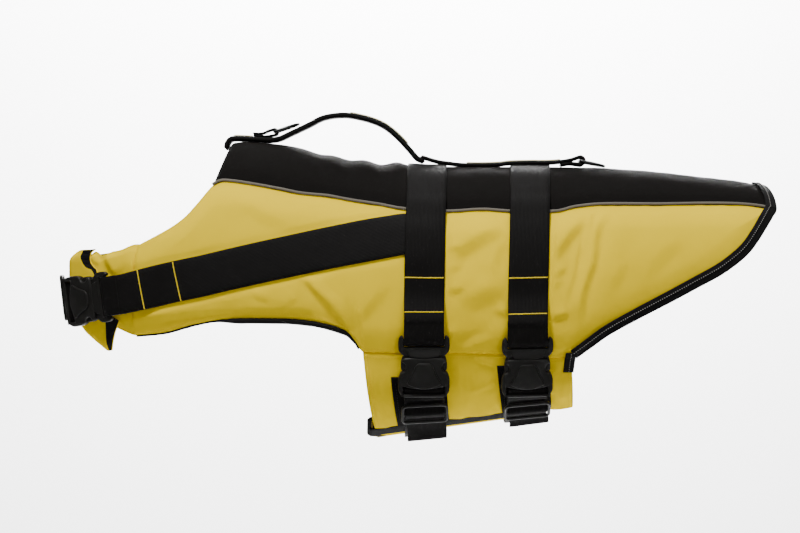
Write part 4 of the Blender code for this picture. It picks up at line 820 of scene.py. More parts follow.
def tube(points, radius, sides=12, closed=False, normals=None, flat=1.0):
    """Points and faces of a round bar along a line."""
    points = np.asarray(points, float)
    count = len(points)
    verts, faces = [], []
    for i, p in enumerate(points):
        before = points[(i - 1) % count] if closed or i else p
        after = points[(i + 1) % count] if closed or i < count - 1 else p
        d = unit(after - before)
        n = unit(normals[i]) if normals is not None else np.array((0.0, 0.0, 1.0))
        c = unit(np.cross(d, n))
        n = unit(np.cross(c, d))
        r = radius[i] if np.ndim(radius) else radius
        for k in range(sides):
            t = 2 * math.pi * k / sides
            verts.append(p + c * math.cos(t) * r + n * math.sin(t) * r * flat)
    for i in range(count if closed else count - 1):
        j = (i + 1) % count
        for k in range(sides):
            m = (k + 1) % sides
            faces.append([i * sides + k, i * sides + m, j * sides + m, j * sides + k])
    if not closed:
        faces.append(list(range(sides - 1, -1, -1)))
        faces.append([(count - 1) * sides + k for k in range(sides)])
    return np.array(verts), faces


def done(piece, nodes):
    """The piece stands for its nodes, which it hides, and rides on the one body."""
    if nodes:
        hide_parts(*nodes)
    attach(piece, "root")
    return piece


def sheet(piece, node):
    """A sheet of cloth for a node."""
    done(piece, [node])


def eased(count, share=0.6):
    """Places from 0 to 1, closer together near both ends."""
    t = np.linspace(0, 1, count)
    return t * (1 - share) + (0.5 - 0.5 * np.cos(np.pi * t)) * share


def pillow(inside, edge, full, lip=0.0045, ramp=0.024):
    """Height of a padded panel this far inside its seam: a round lip, then a long foam ramp."""
    lip_share = np.sqrt(np.clip(1 - (1 - np.clip(inside / lip, 0, 1)) ** 2, 0, 1))
    ramp_share = smoothstep((inside - lip * 0.4) / ramp)
    return edge * (0.45 + 0.55 * lip_share) + (full - edge) * ramp_share


def strap_gap(place, centre, clear, ramp):
    """0 under a strap with this middle and 1 well away from it."""
    return smoothstep((np.abs(place - centre) - WEB_WIDTH / 2 - clear) / ramp)


def strap_press(p):
    """0 under a strap and 1 well away from it, for places on the side panels."""
    x, z = p[..., 0], p[..., 2]
    free = np.ones_like(x)
    for _, x_spine, x_buckle, *_ in GIRTHS:
        centre = x_spine + (x_buckle - x_spine) * np.clip(-z / 0.18, 0, 1)
        free = free * strap_gap(x, centre, 0.0005, 0.006)
    line = np.array(CHEST_LINE)
    z_line = np.interp(x, line[::-1, 0], line[::-1, 1])
    chest = strap_gap(z, z_line, 0.0015, 0.007)
    return free * np.where(x < CHEST_LINE[0][0] + 0.012, chest, 1)


# Padded panels


def back_panel():
    cols = np.linspace(NECK_SECTION, LAST_ROW, 230)
    v = 2 * eased(75, 0.5) - 1
    front_seam, rear_seam = SIDE_BY_ROW[0](float(NECK_SECTION)), SIDE_BY_ROW[0](float(LAST_ROW))
    s_seam, a_seam = SIDE_BY_ROW[0](cols), SIDE_BY_ROW[1](cols)
    share = (s_seam - front_seam) / (rear_seam - front_seam)
    s_spine = BACK_FRONT_SPINE + (BACK_REAR_SPINE - BACK_FRONT_SPINE) * share
    a_seam = a_seam - SEAM_GAP / 2 / HALF_AT(s_seam)
    s = s_spine[:, None] + (s_seam - s_spine)[:, None] * v[None, :] ** 2
    a = a_seam[:, None] * v[None, :]
    p, n = form(s, a, RIGHT), normal(s, a, RIGHT)
    x, y = p[..., 0], p[..., 1]
    free = np.ones_like(x)
    for _, x_spine, *_ in GIRTHS:
        free = free * strap_gap(x, x_spine, 0, 0.010)
    fine = crumple_height(x, y, BACK_CRUMPLES)
    fine = fine + 0.00022 * noise(x, y, 0.011, 3) + 0.00030 * noise(x, y, 0.026, 4)
    under_handle = 1 - smoothstep((np.abs(y) - 0.013) / 0.006)
    rear_run = smoothstep((x + 0.072) / 0.01) * smoothstep((0.098 - x) / 0.01)
    fine = fine * free * (1 - under_handle * rear_run) * (1 - under_handle * smoothstep((-0.19 - x) / 0.01))
    inside = (1 - np.abs(v))[None, :] * (a_seam * HALF_AT(s_seam))[:, None]
    ends = np.minimum(np.abs(s - s[:1]), np.abs(s[-1:] - s))
    puff = crumple_height(x, y)
    height = pillow(np.minimum(inside, ends * 1.2), 0.0040, BACK_THICK, 0.004, 0.012) + puff + fine
    outer = p + n * height[..., None]
    inner = p + n * (puff + np.minimum(fine, 0) * 0.5)[..., None]
    piece = shell("back_panel_cloth", outer, inner, [BLACK, LINING, BLACK])
    done(piece, ["back_panel"])
    line, out = outer[5, 2:-2], n[5, 2:-2]
    sew("neck_hem_stitches", line + out * 0.0001, out, DARK_THREAD, HEM_STITCH)


def side_panel(side):
    word = WORDS[side]
    cols = np.linspace(0, LAST_ROW, 300)
    v = eased(70, 0.55)
    s, a = side_place(cols[:, None], v[None, :])
    a = a + SEAM_GAP / 2 / HALF_AT(s) * (1 - 2 * v[None, :])
    p, n = form(s, a, side), normal(s, a, side)
    top_in, low_in = edge_inside(s, a, side)
    ends = np.minimum(cols[:, None] * 0.03, (LAST_ROW - cols[:, None]) * 0.012) + 0.003
    inside = np.minimum(np.maximum(np.minimum(top_in, low_in), 0), ends * 3)
    free = strap_press(p)
    x, z = p[..., 0], p[..., 2]
    if side == RIGHT:
        x = x + 0.006 * np.sin(z * 60)
    ease = smoothstep(inside / 0.012)
    fold = fold_height(x, z) * np.sin(np.pi * v)[None, :] * smoothstep(cols)[:, None]
    fold = fold * smoothstep(LAST_ROW - cols)[:, None]
    fine = line_folds(x, z, FINE_FOLDS) * smoothstep(inside / 0.006)
    wobble = 0.00024 * noise(x, z, 0.013, 11 + side) + 0.0004 * noise(x, z, 0.034, 21 + side)
    pucker = 0.00022 * noise(x, z * 0.15, 0.0055, 31 + side) * (1 - smoothstep(inside / 0.016))
    height = pillow(inside, SIDE_EDGE_THICK, SIDE_FOAM_THICK) + 0.0012 * free * ease
    height = height + fold + (fine + wobble * ease) * free + pucker * free
    outer = p + n * height[..., None]
    inner = p + n * (np.minimum(fine, 0) * 0.3)[..., None]
    piece = shell("side_panel_" + word + "_cloth", outer, inner, [YELLOW, LINING, YELLOW])
    done(piece, ["side_panel_" + word])
    # Sewing a little above the lower edge, and along the neck edge of the chest arm
    for name, share, first, last in (("side_low", 0.965, 0.6, LAST_ROW - 0.3),
                                     ("neck", 0.04, 0.3, NECK_SECTION - 0.1)):
        column, cut = np.argmin(np.abs(v - share)), (cols > first) & (cols < last)
        sew(name + "_stitches_" + word, outer[cut, column], n[cut, column], FLAT_THREAD)


# Flaps


def flap_top(row):
    s, a = side_place(row, 1.0)
    return s, a + SEAM_GAP / HALF_AT(s)


def angle_of_half(s, y):
    return math.pi - np.arcsin((y / HALF_AT(s)) ** (FULLNESS / 2))


def hemmed(u, *edges):
    """Thickness of a belly flap: thinner at its turned hems and its sewn edge."""
    edge = np.minimum(u, 1 - u)[:, None] * 3
    for other in edges:
        edge = np.minimum(edge, other[None, :])
    return FLAP_THICK * (0.72 + 0.28 * smoothstep(edge / 0.03))


def sew_hems(name, outer, n):
    for word, column in (("front", 3), ("rear", len(outer) - 4)):
        sew(name + "_hem_stitches_" + word, outer[column], n[column], FLAT_THREAD)


def belly_left():
    first, last = FLAP_SECTIONS
    u, v = eased(96, 0.3), eased(52, 0.3)
    rows = first + (last - first) * u
    s_top, a_top = flap_top(rows)
    s_low = FLAP_FRONT_LOW + (FLAP_REAR_LOW - FLAP_FRONT_LOW) * u
    s = s_top[:, None] + (s_low - s_top)[:, None] * v[None, :]
    half = LEFT_FLAP_HALF - 0.010 * smoothstep((u - 0.7) / 0.3)[:, None]
    a = a_top[:, None] + (angle_of_half(s, half) - a_top[:, None]) * v[None, :]
    p, n = form(s, a, LEFT), normal(s, a, LEFT)
    lift = left_flap_lift(p[..., 2])
    free = np.ones_like(s)
    for name, x_front, x_rear, z_top in PADS:
        pad = smoothstep((p[..., 0] - x_front + 0.006) / 0.006) * smoothstep(
            (x_rear + 0.006 - p[..., 0]) / 0.006)
        free = free * (1 - pad * smoothstep((z_top + 0.02 - p[..., 2]) / 0.006))
    fold = line_folds(p[..., 0], p[..., 2], FLAP_FOLDS) * free
    fold = fold + 0.0002 * noise(p[..., 0], p[..., 2], 0.012, 41) * free
    wave = 0.0012 * np.sin(u * 15.0)[:, None] * smoothstep((v - 0.7) / 0.3)[None, :] * free
    lift = lift + np.maximum(fold + wave, -0.0002)
    outer = p + n * (lift + hemmed(u, (1 - v) * 1.6, v * 2 + 0.002))[..., None]
    inner = p + n * lift[..., None]
    piece = shell("belly_flap_left_cloth", outer, inner, [YELLOW, LINING, YELLOW])
    sheet(piece, "belly_flap_left")
    sew_hems("flap", outer, n)
    for name, row in (("top", 3), ("low", len(v) - 4)):
        sew("flap_" + name + "_stitches", outer[2:-2, row], n[2:-2, row], FLAT_THREAD)


def right_flap_place(row, v):
    first, last = FLAP_SECTIONS
    u = (row - first) / (last - first)
    s_top, a_top = flap_top(row)
    front_low = FLAP_FRONT_LOW - RIGHT_FLAP_FRONT_LEAD
    s = s_top + (front_low + (RIGHT_FLAP_REAR_LOW - front_low) * u - s_top) * v
    hide = 0.009 * smoothstep(v / 0.3) * (1 - smoothstep((v - 0.66) / 0.07))
    s = s + (hide + RIGHT_FLAP_TUCK * smoothstep((v - 0.865) / 0.035)) * (1 - u)
    end = 2 * math.pi - angle_at(s, RIGHT_FLAP_END_Z)
    return s, a_top + (end - a_top) * v


def belly_right():
    first, last = FLAP_SECTIONS
    u, v = eased(90, 0.3), np.linspace(0, 1, 96)
    rows = first + (last - first) * u
    s, a = right_flap_place(rows[:, None], v[None, :])
    p, n = form(s, a, RIGHT), normal(s, a, RIGHT)
    fold = 0.0005 * noise(s, a * 0.1, 0.020, 51) + 0.0002 * noise(s, a * 0.1, 0.011, 52)
    lift = np.maximum(fold, 0) * smoothstep(v * 6)[None, :] * smoothstep((0.72 - v) * 6)[None, :]
    outer = p + n * hemmed(u, v * 3 + 0.002)[..., None]
    inner = p - n * lift[..., None] * 0.2
    # The black tape of its front hem shows near its end
    hem = ((u[:-1] < 0.045)[:, None] & (v[:-1] > 0.6)[None, :]).astype(int)
    piece = shell("belly_flap_right_cloth", outer, inner, [YELLOW, BLACK, BLACK], hem)
    sheet(piece, "belly_flap_right")
    sew_hems("belly", outer, n)


def chest_thick(turn, at_seam):
    return CHEST_THICK + (at_seam - CHEST_THICK) * smoothstep((CHEST_THIN_TURN - turn) / CHEST_THIN_REACH)


def chest_flap(side, table, count):
    word = WORDS[side]
    last = table[-1, 0]
    top, low = smooth_curve(table[:, 0], table[:, 1]), smooth_curve(table[:, 0], table[:, 2])
    u, v = eased(count, 0.2)[:, None], eased(64, 0.4)[None, :]
    first, a_first = side_place(0.0, v)
    first = first - SEAM_GAP
    s = first + (chest_station(last) - first) * u
    past = np.zeros_like(s)
    if side == RIGHT:
        # The yellow ends, then the black inner edge shows rolled out past it
        cut, end = (np.interp(v, CHEST_END[:, 0], CHEST_END[:, k]) for k in (1, 2))
        more = np.linspace(0, 1, 11)[1:, None]
        s = first + (chest_station(cut) - first) * u
        s = np.concatenate([s, chest_station(cut + (end - cut) * more)])
        past = np.concatenate([0 * u + 0 * v, more + 0 * v])
    u = np.linspace(0, 1, len(s))[:, None]
    turn = (FRONT_X - s) / WRAP_LENGTH
    a = angle_at(s, top(turn)) * (1 - v) + angle_at(s, low(turn)) * v
    a = a + (a_first - a) * smoothstep(1 - u * 3)
    thick = chest_thick(turn, side_thick(first, a_first, side))
    rim = smoothstep(np.minimum(v, 1 - v) / 0.10) * smoothstep((1 - u) / 0.05)
    thick = thick * (0.55 + 0.45 * rim)
    x, z = form(s, a, side)[..., 0], form(s, a, side)[..., 2]
    wobble = 0.0004 * noise(s, z, 0.012, 61 + side) * rim * smoothstep(u * 4)
    if side == LEFT:
        lift = np.maximum(line_folds(x, z, CHEST_FOLDS), -0.0015) * smoothstep(u * 8)
    else:
        lift = (CHEST_THICK + CHEST_GAP) * smoothstep((turn - CHEST_LIFT_FROM) / 0.16)
        near = smoothstep((turn - 0.86) / 0.16) * (1 - smoothstep((turn - 1.16) / 0.1))
        lift = lift - 0.0045 * near * np.clip(1 - v / 0.13, 0, 1) ** 1.5
        crinkle = np.sin(v * 230 + 2.0 * np.sin(v * 60)) * smoothstep((0.34 - v) / 0.1)
        lift = lift + 0.0009 * crinkle * np.sin(np.pi * np.clip(past, 0, 1)) - 0.0012 * smoothstep(past * 2)
    n, base = normal(s, a, side), form(s, a, side)
    outer = base + n * (lift + thick + wobble)[..., None]
    inner = base + n * lift[..., None]
    slots = (past[1:, 1:] > 0).astype(int)
    piece = shell("chest_flap_" + word + "_cloth", outer, inner, [YELLOW, LINING, YELLOW], slots)
    sheet(piece, "chest_flap_" + word)


# Trims


def piping(name, base, radius, n, flat, finish):
    verts, faces = tube(base, radius, 10, normals=n, flat=flat)
    along = np.r_[0, np.cumsum(np.linalg.norm(np.diff(base, axis=0), axis=1))]
    uv = np.array([(along[i // 10], (i % 10) * 0.0008) for i in range(len(verts))])
    done(mesh_piece(name + "_cloth", verts, faces, [finish], uv=uv), [name])


def seam_piping(side):
    s, a = side_place(np.linspace(NECK_SECTION, LAST_ROW - 1 + 0.6, 240), 0.0)
    p, n = form(s, a, side), normal(s, a, side)
    base = p + n * (BACK_THICK + LAY_GAP * 0.4 + crumple_height(s, p[..., 1]))[..., None]
    piping("seam_piping_" + WORDS[side], base, 0.0015, n, 0.85, GREY)


def leg_piping(side):
    s, a = side_place(np.linspace(0, FLAP_SECTIONS[0] - 0.4, 200), 1.0)
    fuller = smoothstep((s + 0.262) / 0.03) * smoothstep((-0.118 - s) / 0.02)
    radius = 0.0011 + 0.0015 * fuller
    a = a + (radius - 0.0006) / HALF_AT(np.maximum(s, FRONT_X))
    n = normal(s, a, side)
    piping("leg_piping_" + WORDS[side], form(s, a, side) + n * 0.0020, radius, n, 1.0, TAPE)


def rear_line():
    """Stations and angles along the rear edge of one half, from the belly seam up to the spine."""
    rows = [side_place(row, 1.0) for row in np.linspace(FLAP_SECTIONS[1] + 0.15, LAST_ROW, 13)]
    s_seam, a_seam = side_place(float(LAST_ROW), 0.0)
    corner = SIDE[LAST_ROW][0] + 0.0018
    s_seam = s_seam + 0.0018
    for share in (0.35, 0.7):
        s, a = rows[-1]
        rows.append((s + (s_seam - s) * share, a + (a_seam - a) * share))
    for v in (1.0, 0.8, 0.6, 0.4, 0.2, 0.0):
        s = BACK_REAR_SPINE + (corner - BACK_REAR_SPINE) * math.sin(v * math.pi / 2) ** 1.4
        rows.append((s, angle_at(s, SEAM_Z(s)) * v))
    return [(float(s), float(a)) for s, a in rows]


def rear_binding():
    """Tape folded over the rear edge, by its section at each place: its own inside and outside."""
    left = [(s, a, LEFT) for s, a in rear_line()]
    line = left + [(s, a, RIGHT) for s, a, _ in reversed(left[:-1])]
    edge = [form(s, a, side) for s, a, side in line]
    gap, tape = LAY_GAP, BINDING_THICK
    inner_rows, outer_rows, middle, middle_n = [], [], [], []
    for i, (s, a, side) in enumerate(line):
        tangent = unit(edge[min(i + 1, len(edge) - 1)] - edge[max(i - 1, 0)])
        n = normal(s, a, side)
        away = unit(np.cross(tangent, n))
        inside = edge[i] - away * BINDING_LEG
        thick = float(cover(s, a, side))
        thick_inside = max(thick, float(cover(inside[0], angle_at(inside[0], inside[2]), side)))
        low, high, leg = -gap, thick + gap * 1.5, thick_inside + gap * 3
        profile = [(-BINDING_LEG, leg)]
        for t in (0.3, 0.5, 0.7):
            profile.append((-BINDING_LEG + (BINDING_LEG - 0.001) * t, leg + (high - leg) * t))
        profile += [(-0.001, high), (gap, high), (gap, low), (-0.001, low), (-BINDING_LEG, low - 0.0008)]
        swell = [(-BINDING_LEG, leg + tape * 0.6)]
        for t, rise in ((0.3, 1.0), (0.5, 1.28), (0.7, 1.0)):
            swell.append((-BINDING_LEG + (BINDING_LEG - 0.001) * t, leg + (high - leg) * t + tape * rise))
        swell += [(-0.001, high + tape), (gap + tape, high + tape * 0.3), (gap + tape, low - tape * 0.3)]
        swell += [(-0.001, low - tape), (-BINDING_LEG, low - tape * 0.6 - 0.0008)]
        inner_rows.append([edge[i] + away * x + n * h for x, h in profile])
        outer_rows.append([edge[i] + away * x + n * h for x, h in swell])
        middle.append(outer_rows[-1][2])
        middle_n.append(n)
    outer, inner = refine(outer_rows, 7), refine(inner_rows, 7)
    outer = refine(outer.transpose(1, 0, 2), 3).transpose(1, 0, 2)
    inner = refine(inner.transpose(1, 0, 2), 3).transpose(1, 0, 2)
    piece = shell("rear_binding_tape", outer, inner, [TAPE])
    sheet(piece, "rear_binding")
    run, run_n = refine(middle, 7), refine(middle_n, 7)
    sew("binding_stitches", run + run_n * 0.00015, run_n, SHINE, BINDING_STITCH)


def patch(name, corners, side, base, height, thick, finish, cols=30, rows=26):
    """A patch between four corners (front top, rear top, rear low, front low), laid over what is under it."""
    u, v = np.linspace(0, 1, cols)[:, None], np.linspace(0, 1, rows)[None, :]
    (s0, a0), (s1, a1), (s2, a2), (s3, a3) = corners
    s = (s0 * (1 - u) + s1 * u) * (1 - v) + (s3 * (1 - u) + s2 * u) * v
    a = (a0 * (1 - u) + a1 * u) * (1 - v) + (a3 * (1 - u) + a2 * u) * v
    lift = base(s, a) + height
    outer, inner = lay(s, a, side, lift + thick), lay(s, a, side, lift)
    return shell(name, outer, inner, [finish]), outer, normal(s, a, side)


def left_flap_cover(s, a):
    return left_flap_lift(form(s, a, LEFT)[..., 2]) + FLAP_THICK


def pads():
    for name, x_front, x_rear, z_top in PADS:
        corners = [(s, angle_at(s, z_top)) for s in (x_front, x_rear)]
        corners += [(s, angle_of_half(s, LEFT_FLAP_HALF) - 0.012) for s in (x_rear + 0.003, x_front + 0.006)]
        piece, outer, n = patch("buckle_pad_" + name + "_cloth", corners, LEFT, left_flap_cover, LAY_GAP,
                                PAD_THICK, BLACK)
        sheet(piece, "buckle_pad_" + name)
        ring, ring_n = (np.concatenate([g[2, 2:-2],
                                         g[2:-2, -3][1:], g[-3, 2:-2][::-1][1:], g[2:-2, 2][::-1][1:]])
                        for g in (outer, n))
        sew("pad_stitches_" + name, ring, ring_n, DARK_THREAD)


def loop_patch():
    first, last = FLAP_SECTIONS
    u, v = np.linspace(0.012, 0.988, 60), np.linspace(0, 1, 12)
    s = right_flap_place(first + (last - first) * u, 0.8)[0][:, None] + 0 * v[None, :]
    a = angle_of_half(s, LEFT_FLAP_HALF - 0.003 - LOOP_PATCH_WIDTH * v[None, :])
    outer = lay(s, a, LEFT, FLAP_THICK + LAY_GAP + PAD_THICK + 0 * s)
    inner = lay(s, a, LEFT, FLAP_THICK + LAY_GAP + 0 * s)
    piece = shell("loop_patch_cloth", outer, inner, [LINING])
    sheet(piece, "loop_patch")


def binding_tail(side):
    word = WORDS[side]
    x = FLAP_REAR_TOP + 0.0034
    places = ((x - 0.0090, -0.1765), (x + 0.0006, -0.1765), (x - 0.0018, -0.1940), (x - 0.0112, -0.1940))
    corners = [(s, angle_at(s, z)) for s, z in places]

    def base(s, a):
        top = smoothstep((form(s, a, side)[..., 2] + 0.1830) / 0.004)
        return (left_flap_cover(s, a) if side == LEFT else FLAP_THICK + 0 * s) + 0.0016 * top

    piece, outer, n = patch("binding_tail_" + word + "_tape",
                            corners, side, base, LAY_GAP, 0.0016, TAPE, 14, 22)
    sheet(piece, "binding_tail_" + word)
    mid = outer.shape[0] // 2
    sew("tail_stitches_" + word, outer[mid], n[mid], SHINE, BINDING_STITCH)


# Buckles: x along the strap towards the socket, y across it, z out of the cloth


def local_frame(s, a, lift, across_hint):
    """A place on the left side this far out of the form, as a frame for a buckle or slider."""
    out = normal(s, a, LEFT)
    across = unit(across_hint - out * np.dot(across_hint, out))
    m = Matrix.Identity(4)
    for k, axis in enumerate((np.cross(across, out), across, out)):
        m.col[k].xyz = axis
    m.translation = lay(s, a, LEFT, lift)
    return m


def rounded(points, radius, steps=6):
    """A closed outline with its corners rounded, each by its own radius where it has one."""
    out, count = [], len(points)
    for i, p in enumerate(points):
        r = p[2] if len(p) > 2 else radius
        p = Vector(p[:2])
        before, after = Vector(points[i - 1][:2]) - p, Vector(points[(i + 1) % count][:2]) - p
        cut = min(r, before.length * 0.49, after.length * 0.49)
        start, end = p + before.normalized() * cut, p + after.normalized() * cut
        for k in range(steps + 1):
            t = k / steps
            out.append(start * (1 - t) ** 2 + p * (2 * t * (1 - t)) + end * t * t)
    return out


def mirrored(half):
    return [*half, *[(p[0], -p[1], *p[2:]) for p in reversed(half)]]


def plate_mesh(outlines, low, high, edge, tilt=None):
    """A plate in millimetres with rounded edges; its first outline is its rim and the others are holes."""
    curve = bpy.data.curves.new("plate", "CURVE")
    curve.dimensions = "2D"
    curve.fill_mode = "BOTH"
    curve.extrude = (high - low) / 2 - edge
    curve.bevel_depth = edge
    curve.bevel_resolution = 3
    curve.offset = -edge
    for outline in outlines:
        spline = curve.splines.new("POLY")
        spline.points.add(len(outline) - 1)
        for point, place in zip(spline.points, outline, strict=True):
            point.co = (place[0], place[1], 0, 1)
        spline.use_cyclic_u = True
    holder = link_object("plate", curve)
    bpy.context.view_layer.update()
    mesh = bpy.data.meshes.new_from_object(holder.evaluated_get(bpy.context.evaluated_depsgraph_get()))
    bpy.data.objects.remove(holder)
    bm = bmesh.new()
    bm.from_mesh(mesh)
    bmesh.ops.remove_doubles(bm, verts=bm.verts[:], dist=1e-4)
    bmesh.ops.recalc_face_normals(bm, faces=bm.faces[:])
    for v in bm.verts:
        v.co.z += (high + low) / 2
        if tilt:
            v.co.z += tilt(v.co.x, v.co.y)
    bm.to_mesh(mesh)
    bm.free()
    return mesh


def hard_piece(name, meshes, place, finish, angle=35):
    """Several closed parts of one moulding, in millimetres, joined in one piece at its place."""
    bm = bmesh.new()
    for mesh in meshes:
        if isinstance(mesh, bpy.types.Mesh):
            bm.from_mesh(mesh)
        else:
            verts, faces = mesh
            part = bpy.data.meshes.new("part")
            part.from_pydata(np.asarray(verts).tolist(), [], faces)
            bm.from_mesh(part)
    bmesh.ops.transform(bm, matrix=place @ Matrix.Scale(MM, 4), verts=bm.verts[:])
    bmesh.ops.recalc_face_normals(bm, faces=bm.faces[:])
    mesh = bpy.data.meshes.new(name)
    bm.to_mesh(mesh)
    bm.free()
    mesh.materials.append(finish)
    mesh.shade_smooth()
    mesh.set_sharp_from_angle(angle=math.radians(angle))
    return link_object(name, mesh)


def arc(x, half, rise, count=13):
    """An edge across the buckle at x that bows by rise in its middle."""
    return [(x + rise * (1 - (t * t)), half * t) for t in np.linspace(1, -1, count)]


def plug_piece(name, place):
    half = [(-24.5, 19.7, 1), (-27.2, 20.0, 1.2), (-28.6, 21.8, 1.5), (-26.0, 24.4, 3), (-20.0, 25.0, 6)]
    half += [(-13.0, 24.5, 4), (-9.4, 21.4, 3), (-7.2, 19.0, 1.5)]
    window = rounded(mirrored([(-21.5, 19.4, 1.0), (-16.9, 19.4, 1.0)]), 1.0)
    body = plate_mesh([rounded(mirrored(half), 3), window], 0.6, 5.2, 1.3)
    lip = [*arc(-17.0, 17.8, 2.0), *reversed(arc(-8.2, 14.2, 1.4))]
    tongue = plate_mesh([rounded(lip, 0.6, 2)], 0.6, 4.4, 0.8, tilt=lambda x, y: (x + 17) * 0.34)
    arm = [(-9.0, 17.4, 1), (-8.0, 20.6, 2), (-2.0, 22.3, 2), (5.4, 22.4, 2), (8.6, 20.4, 2), (7.0, 16.6, 1)]
    arms = [plate_mesh([rounded([(x, y * sign, r) for x, y, r in arm], 1.5)], 0.8, 5.0, 1.2)
            for sign in (1, -1)]
    return hard_piece(name, [body, tongue, *arms], place, PLASTIC)


def socket_piece(name, place):
    half = [(-7.0, 12.5, 3), (-6.2, 19.0, 2.5), (-4.2, 21.6, 1.8), (-2.2, 21.4, 1), (-0.9, 18.8, 1.2)]
    half += [(2.8, 17.2, 2.5), (6.6, 18.4, 1.5), (8.6, 22.8, 1.5), (13.5, 24.8, 4), (27.5, 25.0, 5)]
    half += [(33.8, 20.8, 4.5)]
    slot = [*arc(22.6, 20.2, 3.0), *reversed(arc(30.7, 20.2, 0.0, 3))]
    body = plate_mesh([rounded(mirrored(half), 3), slot], 0, 7.8, 2.0)
    arch = [(-1.8, 5.4, 3), (1.0, 8.6, 4), (10.0, 11.6, 8), (19.4, 17.0, 2.5), (21.6, 13.0, 6)]
    arch += [(24.6, 5.0, 6)]
    panel = plate_mesh([rounded(mirrored(arch), 3)], 6.4, 9.3, 1.15)
    bar = tube([(27.2, -21.5, 2.6), (27.2, 21.5, 2.6)], 1.1, 12)
    return hard_piece(name, [body, panel, bar], place, PLASTIC)


def slider_piece(name, place):
    loop = rounded([(-11.5, 21.5), (11.5, 21.5), (11.5, -21.5), (-11.5, -21.5)], 4.5, 6)
    frame_bar = tube([(p[0], p[1], 1.5) for p in loop], 1.6, 12, closed=True)
    middle = tube([(0, -21.5, 1.2), (0, 21.5, 1.2)], 1.5, 12)
    return hard_piece(name, [frame_bar, middle], place, PLASTIC)


def in_frame(place, path, count=3, hang=0.0):
    """Rows across a strap; past the slider its tail hangs a little askew."""
    rows = []
    for x, h in path:
        askew = hang * smoothstep((x - 10) / 8)
        places = [((x - 1.2 * c * askew) * MM, c * WEB_WIDTH / 2 + 2.6 * MM * askew, h * MM)
                  for c in np.linspace(-1, 1, count)]
        rows.append([place @ Vector(at) for at in places])
    return rows


def around(bar, radius, start, end, count=8):
    """Places round a bar, from one angle to another in degrees."""
    turns = np.radians(np.linspace(start, end, count))
    return [(bar[0] + radius * math.cos(t), bar[1] + radius * math.sin(t)) for t in turns]


# The webbing through a buckle or slider, in its frame: millimetres along it and out of the cloth


def plug_path():
    path = [(-46, 2.4), (-40, 3.9), (-34, 5.2), (-28, 6.4), (-24, 6.7), (-20.8, 5.9), (-18.6, 3.6)]
    path += [(-18.2, 1.6), (-20, 0.2), (-23, -0.5), (-31, -0.6), (-38, -0.6), (-44, -1.2)]
    return path


def socket_path():
    return [(33.5, -1.2), *around((27.2, 2.6), 2.5, 280, 80, 6), (32, 4.3), (36, 3.4)]


def slider_path(tail):
    path = [(-17, -0.9), (-13, -1.35), (-10, -1.4), (-5.8, 0.7), (-2.4, 3.0), (0, 3.55)]
    path += [(2.4, 3.0), (5.8, 0.7), (10, -1.4), (13, -1.35)]
    path += [(13 + tail * 500, -0.6), (13 + tail * 1000, 1.4)]
    return path


def crossing_share(z):
    """How far the chest strap lies under the front girth strap at this height."""
    reach = WEB_WIDTH / 2 + 0.004
    top, low = CHEST_LINE[0][1] + reach, CHEST_LINE[0][1] - reach
    return smoothstep((top - z) / 0.008 + 1) * smoothstep((z - low) / 0.008 + 1)


def strap_over(x_spine, x_end, a, side):
    """Points across a girth strap over the back, raised where it passes the seam and the chest strap."""
    x = x_spine + (x_end - x_spine) * min(a / 1.7, 1.0)
    points = []
    for c in (-1, 0, 1):
        s = x + c * WEB_WIDTH / 2
        z = form(s, a, side)[..., 2]
        rise = SEAM_RISE * smoothstep(1 - np.abs(z - SEAM_Z(s)) / SEAM_RISE_REACH)
        if c < 1 and x_spine < 0:
            rise = max(rise, (WEB_THICK + 0.0009) * crossing_share(z))
        points.append(lay(s, a, side, cover(s, a, side) + STRAP_HEIGHT + rise))
    return points


def across_at(outer, n, test, count=24):
    """The row of a strap's outside nearest a test, with its normals."""
    i = int(np.argmin([abs(test(row)) for row in outer]))
    rows = across_rows([outer[i], outer[i]], count)
    return rows[0], across_rows([n[i], n[i]], count)[0]


def tack_rows(name, outer, n, axis, places):
    """Rows of yellow stitches straight across a strap, where it passes these places on an axis."""
    for k, place in enumerate(places):
        line, line_n = across_at(outer, n, lambda row, place=place: row[:, axis].mean() - place)
        sew("bar_tack_" + name + "_" + str(k + 1), line, line_n, THREAD,
            TACK_STITCH, TACK_SLANT)


def buckle_parts(name, buckle, slider):
    for part, make, place in (("buckle_plug_", plug_piece, buckle), ("buckle_socket_", socket_piece, buckle),
                              ("slider_", slider_piece, slider)):
        done(make(part + name + "_part", place), [part + name])


